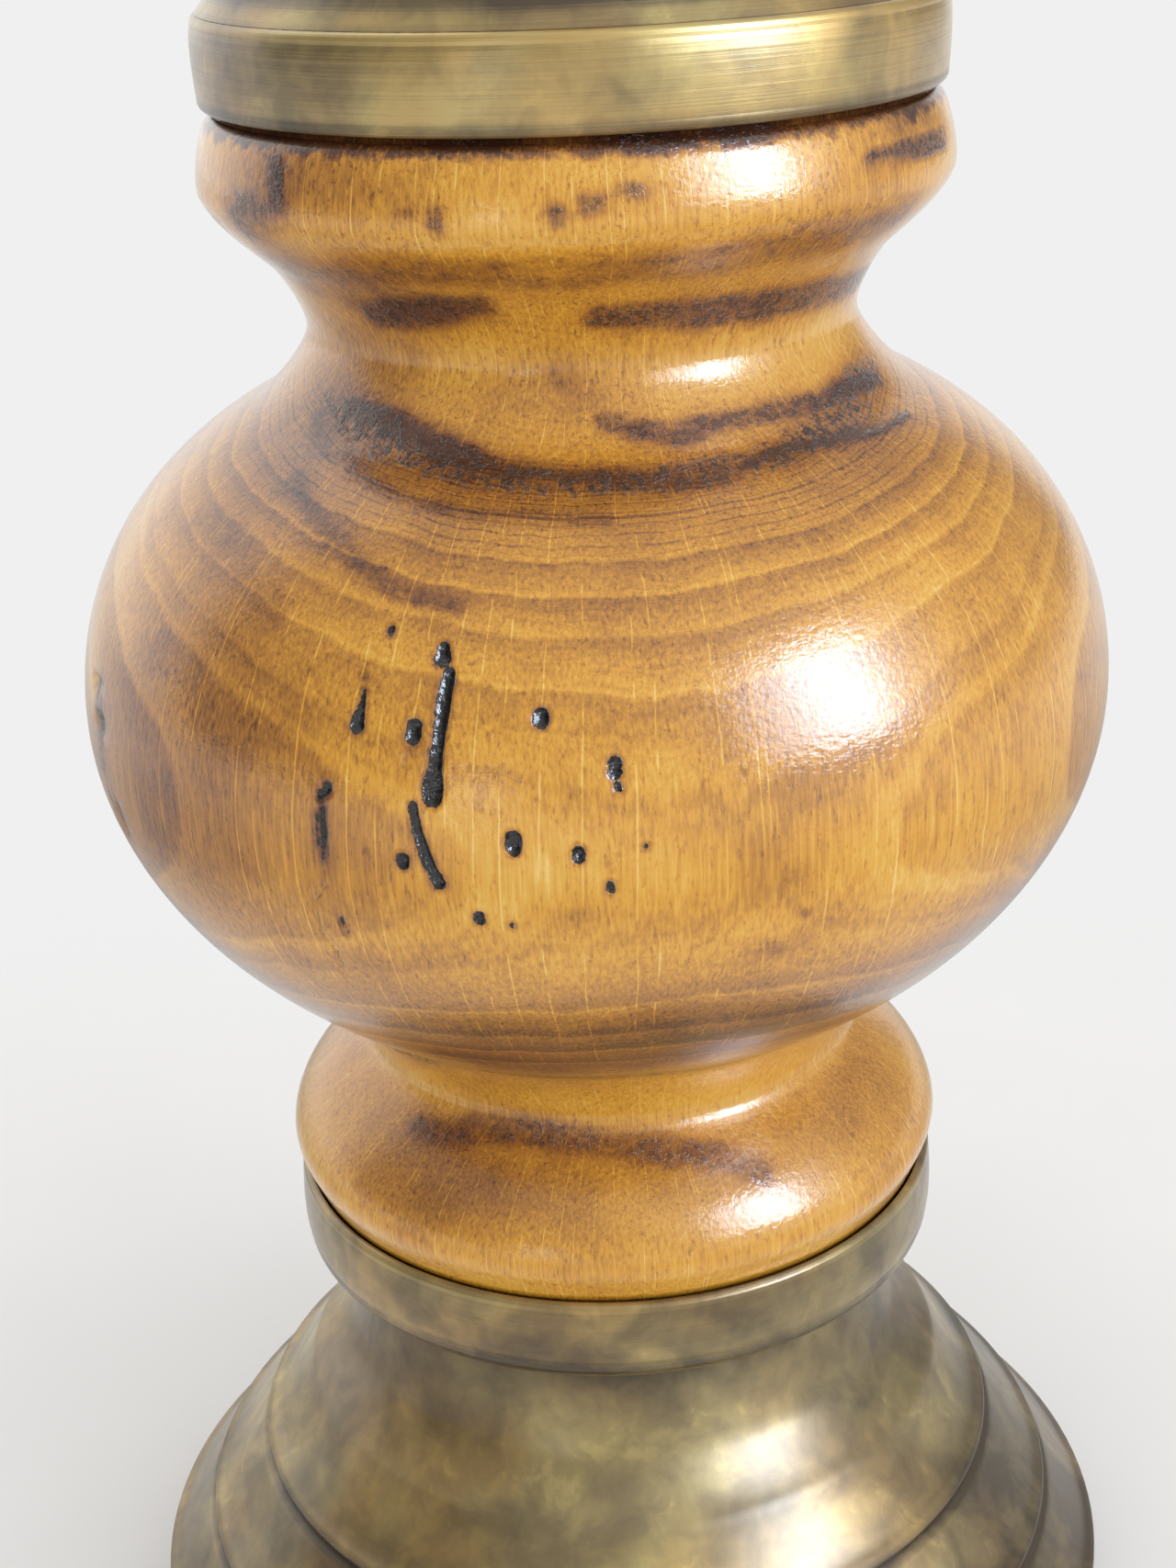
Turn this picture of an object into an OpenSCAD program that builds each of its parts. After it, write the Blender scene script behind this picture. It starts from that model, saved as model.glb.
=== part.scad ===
// Table lamp with a turned wood baluster between two spun brass cups, on a stepped brass bell.
// Millimetres. The origin is on the floor under the lamp's axis, +Z is up, and the cord inlet faces +Y.

/* [Base] */
// Outer radius of the plain foot band
base_r = 75.3; // [73:0.1:79]
// Height of the plain foot band
foot_band_h = 13; // [13:0.5:20]
// How far the felt stands below the foot band
felt_proud = 0.8; // [0.4:0.1:1.4]
// Thickness of the felt pad
felt_t = 2; // [1.5:0.1:3]
// Radius of the lower step's edge
low_step_r = 66.9; // [65:0.1:69]
// Radius of the upper step's edge
high_step_r = 57.3; // [55:0.1:60]
// Height of the flare between the foot band and the lower step
low_flare_h = 9; // [7:0.5:13]
// Height of the flare between the two steps
mid_flare_h = 10.3; // [8:0.5:14]
// Height of each step's riser
riser_h = 2.4; // [1.5:0.1:4]
// How deep each riser is rolled in under its edge
riser_undercut = 0.7; // [0.2:0.1:1]
// Radius of the crease where the bell's two coves meet
crease_r = 49.1; // [48:0.1:51]
// Height of the crease above the upper step's edge
crease_h = 10.1; // [8:0.1:12]
// Radius of the bell's throat, part of the way up its upper cove
throat_r = 42.4; // [41:0.1:44]
// Radius of the bell's top, under the cup
bell_top_r = 38; // [36:0.1:40]
// Height of the bell above the upper step's edge
bell_neck_h = 35; // [28:0.5:45]
// Wall of the spun brass
spun_wall = 1.2; // [0.8:0.1:1.6]

/* [Ballast] */
// Height of the cast weight
weight_h = 18; // [15:0.5:22]
// Width of the cord's channel under the weight
channel_w = 13; // [13:0.5:18]
// Radius of the pocket for the nut under the weight
nut_pocket_r = 16; // [13:0.5:20]
// Depth of the pocket for the nut
nut_pocket_h = 10; // [8.5:0.5:11]

/* [Cord inlet] */
// Bore of the cord bushing
inlet_r = 3.3; // [2.5:0.1:3.5]
// Wall of the bushing's barrel
inlet_wall = 1.1; // [0.8:0.1:1.2]
// Radius of the bushing's outer flange
inlet_flange_r = 5.6; // [5.4:0.1:5.9]
// Thickness of the bushing's outer flange
inlet_flange_t = 1.6; // [1:0.1:2.5]
// Length of the bushing's barrel behind its flange
inlet_barrel = 5.4; // [4:0.1:6]

/* [Cups] */
// Outer radius of both cups
cup_r = 47.7; // [47.6:0.1:50]
// Height of each cup's band
cup_h = 11.4; // [9:0.1:15]
// How much the band's middle swells
cup_swell = 0.4; // [0:0.1:0.8]
// Rounding where the lower cup's band turns under
cup_turn = 2.6; // [1.5:0.1:4]
// Rounding of the upper cup's top edge
cup_top_turn = 1; // [0.6:0.1:1.1]
// Rounding of the cup's lip
cup_lip = 1; // [0.6:0.1:1.1]
// Clearance between the wood's tenons and the cups
tenon_gap = 0.3; // [0.2:0.05:0.8]

/* [Wood] */
// Radius of the ball
ball_r = 70.7; // [67:0.1:75]
// Height of the ball's widest line, as a share of the wood's height
ball_share = 0.4914; // [0.475:0.0002:0.51]
// Radius where the lower neck runs into the ball
low_join_r = 42.4; // [41:0.1:46]
// Height where the lower neck runs into the ball, as a share of the wood's height
low_join_share = 0.2105; // [0.2:0.0005:0.22]
// Radius where the ball runs into the upper neck
up_join_r = 44.2; // [42:0.1:47]
// Height where the ball runs into the upper neck, as a share of the wood's height
up_join_share = 0.7545; // [0.745:0.0005:0.765]
// Radius at the foot, where the wood leaves the lower cup
wood_foot_r = 46.3; // [45:0.1:46.4]
// Radius of the lower bead
low_bead_r = 48.3; // [47:0.1:51]
// Height of the lower bead, as a share of the wood's height
low_bead_share = 0.035; // [0.026:0.0002:0.04]
// Radius of the lower neck
low_neck_r = 35.7; // [33:0.1:38]
// Height of the lower neck, as a share of the wood's height
low_neck_share = 0.1414; // [0.13:0.0002:0.157]
// Radius of the upper neck
up_neck_r = 36.3; // [33:0.1:38]
// Height of the upper neck, as a share of the wood's height
up_neck_share = 0.8205; // [0.81:0.0005:0.835]
// Radius of the upper bead
up_bead_r = 48.9; // [47:0.1:51]
// Height of the upper bead, as a share of the wood's height
up_bead_share = 0.9432; // [0.93:0.0002:0.955]
// Radius of the wood's top edge
wood_top_r = 46.2; // [43:0.1:46.4]
// Height of the wood between the cups
wood_h = 152.8; // [130:0.2:180]
// Gap that shows between the wood and the upper cup
shadow_gap = 0.8; // [0.5:0.1:1.5]
// Radius of the drilled bore
wood_bore_r = 6; // [5.6:0.1:8]

/* [Stem] */
// Height of the shoulder above the upper cup
shoulder_h = 40; // [34:0.5:50]
// Radius of the step in the shoulder
shoulder_step_r = 39.4; // [37:0.1:42]
// Height of the step above the upper cup
shoulder_step_z = 9.2; // [7:0.2:12]
// Radius of the shoulder's neck
shoulder_neck_r = 16.5; // [15:0.1:19]
// Height of the knop
knop_h = 18; // [15:0.5:24]
// Radius of the knop's bead
knop_r = 20.5; // [18:0.1:24]
// Height of the column
column_h = 70; // [55:1:100]
// Radius of the column's foot
column_foot_r = 14.5; // [12:0.1:16]
// Radius of the column's waist
column_waist_r = 9; // [7.6:0.1:11]
// Radius of the column's head
column_head_r = 13; // [12:0.1:15]
// Radius of the crown cap's lip
crown_r = 27; // [24:0.2:30]
// Depth of the crown cap
crown_h = 11; // [8:0.2:14]
// Radius of the crown cap's flat top
crown_top_r = 13.5; // [12:0.1:15]

/* [Rod] */
// Outer radius of the threaded rod
rod_r = 5.1; // [4.8:0.05:5.2]
// Bore of the threaded rod
rod_bore_r = 3.4; // [2.5:0.1:3.7]
// Clearance of the rod in the parts that it passes through
rod_gap = 0.3; // [0.2:0.05:0.45]
// Width of the nuts across their corners
nut_corners = 19; // [16:0.5:22]
// Thickness of the nuts
nut_t = 4; // [3:0.1:4.5]
// Thickness of the lock washer
washer_t = 1.2; // [0.8:0.1:1.6]

/* [Socket] */
// Outer radius of the socket's shell
shell_r = 17.8; // [17.6:0.1:18.4]
// Height of the socket's shell above its cap
shell_h = 41; // [38:0.5:46]
// Wall of the socket's shell
shell_wall = 0.6; // [0.5:0.05:0.8]
// Height of the socket cap's hub
hub_h = 8; // [7:0.5:12]
// Outer radius of the hub
hub_r = 8; // [7.2:0.1:9]
// Height of the cap's dome above its hub
dome_h = 11; // [10:0.5:13]
// Height of the cap's skirt above its dome
skirt_h = 6.5; // [5:0.5:9]
// Wall of the cap
cap_wall = 0.9; // [0.7:0.05:1.1]
// Thickness of the paper liner
liner_t = 0.7; // [0.5:0.05:0.8]
// How far the liner stands above the shell
liner_proud = 1.5; // [1:0.1:3]
// Bore of the screw shell, for an E26 lamp base
screw_shell_r = 13.2; // [13.15:0.05:13.4]
// Wall of the screw shell
screw_shell_wall = 0.5; // [0.4:0.05:0.7]
// Length of the screw shell
screw_shell_h = 22; // [20:0.5:24]
// How far the screw shell stands below the socket's rim
screw_shell_depth = 4; // [2:0.5:6]
// Clearance between the socket's nested parts
nest_gap = 0.2; // [0.1:0.05:0.25]

/* [Switch] */
// Radius of the switch's shaft
shaft_r = 1.6; // [1.2:0.1:2]
// Height of the shaft above the cap's rim
shaft_z = 4.4; // [4:0.1:6]
// Clearance of the shaft in the shell's slot
shaft_gap = 0.5; // [0.3:0.05:0.8]
// Radius of the knob
knob_r = 7; // [5.5:0.1:9]
// Length of the knob
knob_l = 12; // [9:0.5:16]
// Gap between the shell and the knob
knob_gap = 8; // [5:0.5:12]
// Number of the knob's flutes
knob_flutes = 12; // [8:1:16]

/* [Harp] */
// Radius of the harp's wire
wire_r = 2.2; // [1.8:0.1:2.5]
// Height of the harp's wire above the saddle
harp_h = 216; // [200:1:260]
// Half of the harp's straight top
harp_top = 20; // [18:0.5:24]
// Bend radius of the harp's shoulders
harp_bend = 36; // [32:0.5:40]
// Lean of the harp's sides
harp_lean = 14; // [12:0.5:16]
// Distance of each leg from the axis
leg_x = 27.5; // [27:0.1:30]
// Bend radius where each side runs into its leg
leg_bend = 24; // [15:0.5:30]
// Radius of the hub that joins the harp's wires
hub_disc_r = 8; // [7.5:0.1:10]
// Thickness of the harp's hub
hub_disc_t = 5.6; // [5.6:0.1:7]
// Thickness of the saddle's strip
strap_t = 1.5; // [1.2:0.1:2]
// Width of the saddle's strip
strap_w = 9; // [8:0.2:11]
// Width of the saddle's prongs
prong_w = 5; // [4:0.1:5.4]
// Height of the saddle's prongs
prong_h = 12; // [10:0.5:15]
// Height of the prongs' shoulders above the saddle
saddle_rise = 21; // [19:0.5:24]
// Half of the saddle's flat
saddle_flat = 13; // [12:0.5:15]
// Length of the lock sleeves
sleeve_l = 14; // [12:0.5:18]
// Wall of the lock sleeves
sleeve_wall = 0.9; // [0.7:0.1:1.2]
// Clearance inside the lock sleeves
sleeve_gap = 0.3; // [0.2:0.05:0.5]

/* [Finial] */
// Radius of the harp's threaded stud
stud_r = 3.175; // [2.8:0.005:3.3]
// Radius of the stud's rivet through the harp's hub
rivet_r = 2.5; // [2:0.1:3]
// Length of the stud above its flange
stud_l = 12; // [9:0.5:14]
// Radius of the stud's flange
flange_r = 5.5; // [5:0.1:6]
// Thickness of the stud's flange
flange_t = 1.5; // [1:0.1:2]
// Running clearance of the finial on the stud and of the switch's shaft
run_gap = 0.08; // [0.04:0.01:0.1]
// Height of the finial
finial_h = 32; // [28:0.5:40]
// Radius of the finial's ball
finial_r = 9.5; // [8:0.1:12]
// Radius of the finial's foot
finial_foot_r = 7; // [6.2:0.1:8]

/* [Hidden] */

$fn = 64;
eps = 0.01;
steps = 14;         // points on each curved stretch of a turned profile
edge = 0.6;         // small rounding of a turned or spun edge
seat = 0.05;        // gap between faces that seat on each other's rounding
lap = 0.2;          // how far a straight wire runs into each bend
bend_thin = 0.04;   // how much thinner the wire is where it has been bent

brass = "#8f7d4f";
wood = "#c07f2c";
steel = "#9a9a98";
phenolic = "#2b211c";

// Heights of the stack, from the floor up.
rim_z = felt_proud;
foot_top_z = rim_z + foot_band_h;
low_step_z = foot_top_z + low_flare_h;
mid_z = low_step_z + riser_h;
high_step_z = mid_z + mid_flare_h;
bell_z = high_step_z + riser_h;
bell_top_z = bell_z + bell_neck_h;
cup_floor_z = bell_top_z + spun_wall;
wood_z = bell_top_z + cup_h + cup_turn / 2;
up_cup_z = wood_z + wood_h + shadow_gap;
up_cup_top_z = up_cup_z + cup_h;
shoulder_top_z = up_cup_top_z + shoulder_h;
column_z = shoulder_top_z + knop_h;
column_top_z = column_z + column_h;
crown_top_z = column_top_z + spun_wall;
saddle_z = crown_top_z + nut_t;
socket_z = saddle_z + strap_t;
cap_z = socket_z + hub_h;
dome_z = cap_z + dome_h;
cap_rim_z = dome_z + skirt_h;
shell_top_z = cap_rim_z + shell_h;
shaft_axis_z = cap_rim_z + shaft_z;
body_top_z = shell_top_z - screw_shell_depth - screw_shell_h;
prong_z = saddle_z + saddle_rise;
wire_top_z = saddle_z + harp_h;
hub_top_z = wire_top_z + hub_disc_t / 2;
finial_z = hub_top_z + flange_t;
wire_end_x = hub_disc_r - 3.4;

// Radii that follow from what is nested in what.
cup_bore_r = cup_r - spun_wall;
tenon_r = min(cup_bore_r, wood_foot_r) - tenon_gap;
top_tenon_r = min(cup_bore_r, wood_top_r) - 2 * tenon_gap;
rod_hole_r = rod_r + rod_gap;
rod_top_z = socket_z + hub_h;
weight_z = felt_t;
pocket_top_z = weight_z + nut_pocket_h;
rod_bottom_z = pocket_top_z - washer_t - nut_t - 1;
liner_r = shell_r - shell_wall - nest_gap;
body_r = liner_r - liner_t - nest_gap;
cap_r = shell_r + cap_wall + nest_gap;
cap_bore_r = cap_r - cap_wall;
shell_foot_z = dome_seat(shell_r);
liner_foot_z = dome_seat(liner_r);
body_z = dome_seat(body_r);
inlet_z = rim_z + foot_band_h / 2;
barrel_r = inlet_r + inlet_wall;
prong_x = leg_x + wire_r + seat;
sleeve_x = leg_x + (prong_x + strap_t - leg_x - wire_r) / 2;
sleeve_bore_r = max(norm([prong_x + strap_t - sleeve_x, prong_w / 2]), wire_r + strap_t / 2) + sleeve_gap;

// Height at which a ring of radius r comes to rest inside the cap's dome.
function dome_seat(r) = dome_z - (dome_h - cap_wall) * sqrt(1 - pow(r / cap_bore_r, 2)) + seat;

// Points of a smooth stretch from p to q that leaves p along u and reaches q along v.
function stretch(p, u, q, v, n = steps) =
    [for (i = [0 : n])
        let (t = i / n, a = 2 * t * t * t - 3 * t * t + 1, b = t * t * t - 2 * t * t + t,
             c = -2 * t * t * t + 3 * t * t, d = t * t * t - t * t)
        a * p + b * u + c * q + d * v];

// Points of a quarter turn of radii a and b about c, from angle s to angle e.
function turn(c, a, b, s, e, n = steps) =
    [for (i = [0 : n]) let (t = s + (e - s) * i / n) c + [a * cos(t), b * sin(t)]];

// The inside of a spun shell between two heights: its outline moved in and down.
function inset(points, w, low_z, high_z) =
    [for (p = points) if (p[1] - 0.8 * w > low_z && p[1] - 0.8 * w < high_z) [p[0] - w, p[1] - 0.8 * w]];

function reversed(points) = [for (i = [len(points) - 1 : -1 : 0]) points[i]];

// A ribbon of thickness t about a path in the X-Z plane.
function normals(path) =
    [for (i = [0 : len(path) - 1])
        let (a = path[max(i - 1, 0)], b = path[min(i + 1, len(path) - 1)], d = (b - a) / norm(b - a))
        [-d[1], d[0]]];
function ribbon(path, t) =
    let (n = normals(path))
    concat([for (i = [0 : len(path) - 1]) path[i] + n[i] * t / 2],
           [for (i = [len(path) - 1 : -1 : 0]) path[i] - n[i] * t / 2]);

module revolved(points) {
    rotate_extrude() polygon(points);
}

// Stands a shape drawn in X-Y up in the X-Z plane.
module upright() {
    rotate([90, 0, 0]) children();
}

module along_y() {
    rotate([-90, 0, 0]) children();
}

// ---- Base ----

module felt_pad() {
    color("#4a3b2c") cylinder(r = base_r - spun_wall - tenon_gap, h = felt_t);
}

// Outside of the bell, from the foot band's rim up to its flat top.
throat_z = bell_z + bell_neck_h * 0.51;
bell_outline = concat(
    turn([base_r - edge, rim_z + edge], edge, edge, -90, 0, 4),
    turn([base_r - edge, foot_top_z - edge], edge, edge, 0, 45, 3),
    stretch([base_r - 2 * edge, foot_top_z + edge / 2], [-3, 2.4],
            [low_step_r + riser_undercut, low_step_z], [-2, 3.4], 6),
    [[low_step_r - riser_undercut, low_step_z + edge]],
    turn([low_step_r - edge, mid_z - edge], edge, edge, 0, 45, 3),
    stretch([low_step_r - 2 * edge, mid_z + edge / 2], [-3, 2.4],
            [high_step_r + riser_undercut, high_step_z], [-2.4, 4.2], 6),
    [[high_step_r - riser_undercut, high_step_z + edge]],
    turn([high_step_r - edge, bell_z - edge], edge, edge, 0, 45, 3),
    stretch([high_step_r - 2 * edge, bell_z + edge / 2], [-5.5, 3.2],
            [crease_r, bell_z + crease_h], [-2.6, 5], 8),
    stretch([crease_r - 0.1, bell_z + crease_h + 0.2], [-6.5, 5],
            [throat_r, throat_z], [-3.4, 6.6], 8),
    stretch([throat_r, throat_z], [-5, 9.8], [bell_top_r, bell_top_z], [-0.4, 11], 8));

module base_bell() {
    ceiling_z = bell_top_z - spun_wall;
    color(brass) difference() {
        revolved(concat([[rod_hole_r, ceiling_z], [rod_hole_r, bell_top_z]],
                        reversed(bell_outline),
                        [[base_r - spun_wall, rim_z]],
                        inset(bell_outline, spun_wall, rim_z + 2, ceiling_z - 0.5),
                        [[bell_top_r - spun_wall - 0.3, ceiling_z]]));
        translate([0, 0, inlet_z]) along_y() cylinder(r = barrel_r + nest_gap / 2, h = base_r + 5);
    }
}

// The weight's shoulder is cast to the inside of the bell's lower flare, and the rod pulls it up there.
module base_weight() {
    rim_r = base_r - spun_wall - 2 * seat;
    weight_top_z = weight_z + weight_h;
    shoulder = inset(bell_outline, spun_wall + 2 * seat, foot_top_z - 2, weight_top_z);
    color("#3c3a38") difference() {
        revolved(concat([[rod_hole_r, weight_z], [rim_r, weight_z]], shoulder,
                        [[shoulder[len(shoulder) - 1][0] - 1, weight_top_z], [rod_hole_r + 7, weight_top_z],
                         [rod_hole_r + 6, weight_top_z + 2.5], [rod_hole_r, weight_top_z + 2.5]]));
        translate([0, 0, weight_z - eps]) cylinder(r = nut_pocket_r, h = nut_pocket_h + eps);
        translate([-channel_w / 2, 0, weight_z - eps])
            cube([channel_w, base_r, inlet_z + inlet_flange_r + 0.5 - weight_z]);
    }
}

module hex_nut(corners, t) {
    difference() {
        cylinder(d = corners, h = t, $fn = 6);
        translate([0, 0, -eps]) cylinder(r = rod_r + nest_gap / 2, h = t + 2 * eps);
    }
}

module rod_nut() {
    color(steel) translate([0, 0, pocket_top_z - washer_t - nut_t]) hex_nut(nut_corners, nut_t);
}

// A split ring with its gap towards +X.
module lock_washer() {
    color(steel) translate([0, 0, pocket_top_z - washer_t]) difference() {
        cylinder(d = nut_corners - 2, h = washer_t);
        translate([0, 0, -eps]) cylinder(r = rod_hole_r, h = washer_t + 2 * eps);
        translate([0, -1, -eps]) cube([nut_corners, 2, washer_t + 2 * eps]);
    }
}

module cord_bushing() {
    color(phenolic) translate([0, base_r, inlet_z]) along_y() rotate_extrude() polygon(concat(
        [[inlet_r, inlet_flange_t], [inlet_r, -inlet_barrel], [barrel_r, -inlet_barrel], [barrel_r, seat],
         [inlet_flange_r, seat]],
        turn([inlet_flange_r - edge, inlet_flange_t - edge], edge, edge, 0, 90, 4)));
}

// ---- Cups and wood ----

// Outside of a cup that stands on its floor, from the floor to the inside of its lip.
function cup_outline(h, rounding) = concat(
    turn([cup_r - rounding, rounding], rounding, rounding, -90, 0, 6),
    stretch([cup_r, rounding + 0.4], [cup_swell * 4, 3], [cup_r, h - cup_lip - 0.4], [-cup_swell, 3], 8),
    turn([cup_r - cup_lip, h - cup_lip], cup_lip, cup_lip, 0, 90, 5));

module cup(h, rounding) {
    revolved(concat([[rod_hole_r, 0]],
                    cup_outline(h, rounding),
                    [[cup_bore_r, h - 0.2], [cup_bore_r, spun_wall], [rod_hole_r, spun_wall]]));
}

module lower_cup() {
    color(brass) translate([0, 0, bell_top_z]) cup(wood_z - bell_top_z, cup_turn);
}

// The upper cup stands upside down, with a crisper edge.
module upper_cup() {
    color(brass) translate([0, 0, up_cup_top_z]) mirror([0, 0, 1]) cup(cup_h, cup_top_turn);
}

// Heights on the turning, and its outside from its foot to its top edge.
low_bead_z = wood_h * low_bead_share;
low_neck_z = wood_h * low_neck_share;
ball_z = wood_h * ball_share;
low_join_z = wood_h * low_join_share;
up_join_z = wood_h * up_join_share;
up_neck_z = wood_h * up_neck_share;
up_bead_z = wood_h * up_bead_share;
low_slope = [ball_r * 0.714, wood_h * 0.1965];
up_slope = [-ball_r * 0.708, wood_h * 0.1644];
wood_outline = concat(
    stretch([wood_foot_r, 0], [0.6, 2.6], [low_bead_r, low_bead_z], [0, 3.4], 6),
    stretch([low_bead_r, low_bead_z], [0, 7.5], [low_neck_r + 7, low_neck_z - 6.5], [-12.6, 11.1], 10),
    stretch([low_neck_r + 7, low_neck_z - 6.5], [-11.1, 10.1], [low_neck_r, low_neck_z], [0, 5.5], 8),
    stretch([low_neck_r, low_neck_z], [0, 8], [low_join_r, low_join_z], low_slope * 0.17, 8),
    stretch([low_join_r, low_join_z], low_slope, [ball_r, ball_z], [0, wood_h * 0.3327], 24),
    stretch([ball_r, ball_z], [0, wood_h * 0.3451], [up_join_r, up_join_z], up_slope, 24),
    stretch([up_join_r, up_join_z], up_slope * 0.143, [up_neck_r, up_neck_z], [0, 8], 8),
    stretch([up_neck_r, up_neck_z], [0, 8], [up_neck_r + 4.8, up_neck_z + 9.4], [5.2, 4.6], 8),
    stretch([up_neck_r + 4.8, up_neck_z + 9.4], [5.2, 4.6], [up_bead_r, up_bead_z], [0, 9], 8),
    stretch([up_bead_r, up_bead_z], [0, 6], [wood_top_r, wood_h], [-5, 1.2], 8));

module turned_wood_body() {
    low_tenon = wood_z - cup_floor_z;
    high_tenon = shadow_gap + cup_h - spun_wall;
    color(wood) translate([0, 0, wood_z])
        revolved(concat([[wood_bore_r, -low_tenon], [tenon_r, -low_tenon], [tenon_r, 0]],
                        wood_outline,
                        [[top_tenon_r, wood_h], [top_tenon_r, wood_h + high_tenon],
                         [wood_bore_r, wood_h + high_tenon]]));
}

// ---- Stem ----

module shoulder_bell() {
    foot_r = cup_r - cup_top_turn + edge / 2;
    step = [shoulder_step_r, up_cup_top_z + shoulder_step_z];
    outline = concat(
        stretch([foot_r, up_cup_top_z], [-3.4, 4.2], step, [-4.4, 4.4], 8),
        [step + [-1.4, 0.2]],
        turn(step + [-1.4 - edge, 1.6], edge, edge, 0, 60, 3),
        stretch(step + [-2.6, 2.4], [-22, 6], [shoulder_neck_r, shoulder_top_z - 4], [-1.5, 30], 18),
        turn([shoulder_neck_r, shoulder_top_z - 2], 2, 2, -60, 90, 6));
    ceiling_z = shoulder_top_z - spun_wall;
    color(brass) revolved(concat(
        [[rod_hole_r, ceiling_z], [rod_hole_r, shoulder_top_z]],
        reversed(outline),
        [[foot_r - spun_wall * 1.2, up_cup_top_z]],
        inset(outline, spun_wall, up_cup_top_z + 0.5, ceiling_z - 3),
        [[shoulder_neck_r - spun_wall, ceiling_z]]));
}

module knop() {
    bead = knop_h * 0.29;
    mid_z = shoulder_top_z + knop_h * 0.52;
    color(brass) revolved(concat(
        [[rod_hole_r, shoulder_top_z], [shoulder_neck_r - 1, shoulder_top_z]],
        turn([shoulder_neck_r - 1, shoulder_top_z + 1.1], 1.1, 1.1, -90, 90, 6),
        stretch([shoulder_neck_r - 1.6, shoulder_top_z + 2.4], [-1.6, 1],
                [knop_r - bead, mid_z - bead], [2.4, 0.2], 5),
        turn([knop_r - bead, mid_z], bead, bead, -90, 90, 12),
        stretch([knop_r - bead - 0.4, mid_z + bead], [-2, 0.2], [column_foot_r - 1, column_z], [0, 2], 5),
        [[rod_hole_r, column_z]]));
}

module column() {
    waist_z = column_z + column_h * 0.4;
    head_z = column_top_z - 11;
    color(brass) revolved(concat(
        [[rod_hole_r, column_z], [column_foot_r - edge, column_z]],
        turn([column_foot_r - edge, column_z + edge + 0.6], edge, edge + 0.6, -90, 90, 6),
        [[column_foot_r - 1.8, column_z + 2.6]],
        stretch([column_foot_r - 1.8, column_z + 3], [-1, 12], [column_waist_r, waist_z], [-0.4, 16], 12),
        stretch([column_waist_r, waist_z], [0.2, 12], [column_head_r - 3.4, head_z - 2], [2.6, 7], 10),
        turn([column_head_r - 2.6, head_z], 1.6, 1.6, -80, 80, 8),
        [[column_head_r - 3, head_z + 2]],
        stretch([column_head_r - 3, head_z + 2.4], [0.2, 3],
                [column_head_r, column_top_z - edge], [0.5, 3], 6),
        [[column_head_r - edge, column_top_z], [rod_hole_r, column_top_z]]));
}

// A shallow brass bell, open underneath, that the column's head carries from inside.
module crown_cap() {
    lip_z = crown_top_z - crown_h;
    outline = concat(
        turn([crown_r - edge, lip_z + edge], edge, edge, -90, 60, 5),
        stretch([crown_r - 1.6, lip_z + 2 * edge], [-3, 1.4],
                [crown_top_r + 2, crown_top_z - 2.6], [-3, 3.4], 8),
        turn([crown_top_r, crown_top_z - 2], 2, 2, 0, 90, 5));
    color(brass) revolved(concat(
        [[rod_hole_r, column_top_z], [rod_hole_r, crown_top_z]],
        reversed(outline),
        [[crown_r - spun_wall, lip_z]],
        inset(outline, spun_wall, lip_z + 0.3, column_top_z - 0.8),
        [[crown_top_r + 0.6, column_top_z]]));
}

module center_rod() {
    color(steel) translate([0, 0, rod_bottom_z]) difference() {
        cylinder(r = rod_r, h = rod_top_z - rod_bottom_z);
        translate([0, 0, -eps]) cylinder(r = rod_bore_r, h = rod_top_z - rod_bottom_z + 2 * eps);
    }
}

module stack_nut() {
    color(brass) translate([0, 0, crown_top_z]) hex_nut(nut_corners, nut_t);
}

// ---- Socket ----

module socket_cap() {
    hole_r = rod_r + nest_gap / 2;
    floor_z = dome_z - (dome_h - cap_wall) * sin(acos(hub_r / cap_bore_r));
    color(brass) difference() {
        revolved(concat(
            [[hole_r, socket_z], [hub_r - edge, socket_z], [hub_r, socket_z + edge]],
            turn([0, dome_z], cap_r, dome_h, -acos(hub_r / cap_r), 0, 14),
            turn([cap_r, cap_rim_z - 1.8], 0.9, 1.6, -90, 90, 8),
            [[cap_bore_r, cap_rim_z - 0.2]],
            turn([0, dome_z], cap_bore_r, dome_h - cap_wall, 0, -acos(hub_r / cap_bore_r), 14),
            [[hole_r, floor_z]]));
        rotate([0, 0, 40]) translate([0, 0, socket_z + hub_h / 2]) rotate([0, 90, 0])
            cylinder(r = 1.5 + nest_gap / 2, h = hub_r + 2);
    }
}

// A slotted screw along +Z: a shank of length l under a cheese head.
module slotted_screw(shank_r, l, head_r, head_t) {
    slot_w = 0.8;
    cylinder(r = shank_r, h = l);
    translate([0, 0, l]) difference() {
        cylinder(r = head_r, h = head_t);
        translate([-head_r - 1, -slot_w / 2, head_t / 2]) cube([2 * head_r + 2, slot_w, head_t]);
    }
}

module set_screw() {
    tip_r = rod_r + nest_gap;
    color(steel) translate([0, 0, socket_z + hub_h / 2]) rotate([0, 90, 40]) translate([0, 0, tip_r])
        slotted_screw(1.5, hub_r - tip_r + seat, 2.6, 1.8);
}

terminal_z = body_z + 9;
terminal_a = [150, 330];

module socket_body() {
    color(phenolic) difference() {
        translate([0, 0, body_z]) cylinder(r = body_r, h = body_top_z - body_z);
        translate([0, 0, body_z - eps]) cylinder(r = hub_r + 1, h = 3);
        translate([0, 0, shaft_axis_z]) upright() cylinder(r = shaft_r + run_gap, h = body_r + 1);
        for (a = terminal_a) rotate([0, 0, a]) {
            translate([body_r - 3, -4, terminal_z - 4]) cube([6, 8, 8]);
            translate([body_r - 9, 0, terminal_z]) rotate([0, 90, 0]) cylinder(r = 1.5 + nest_gap / 2, h = 8);
        }
    }
}

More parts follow.
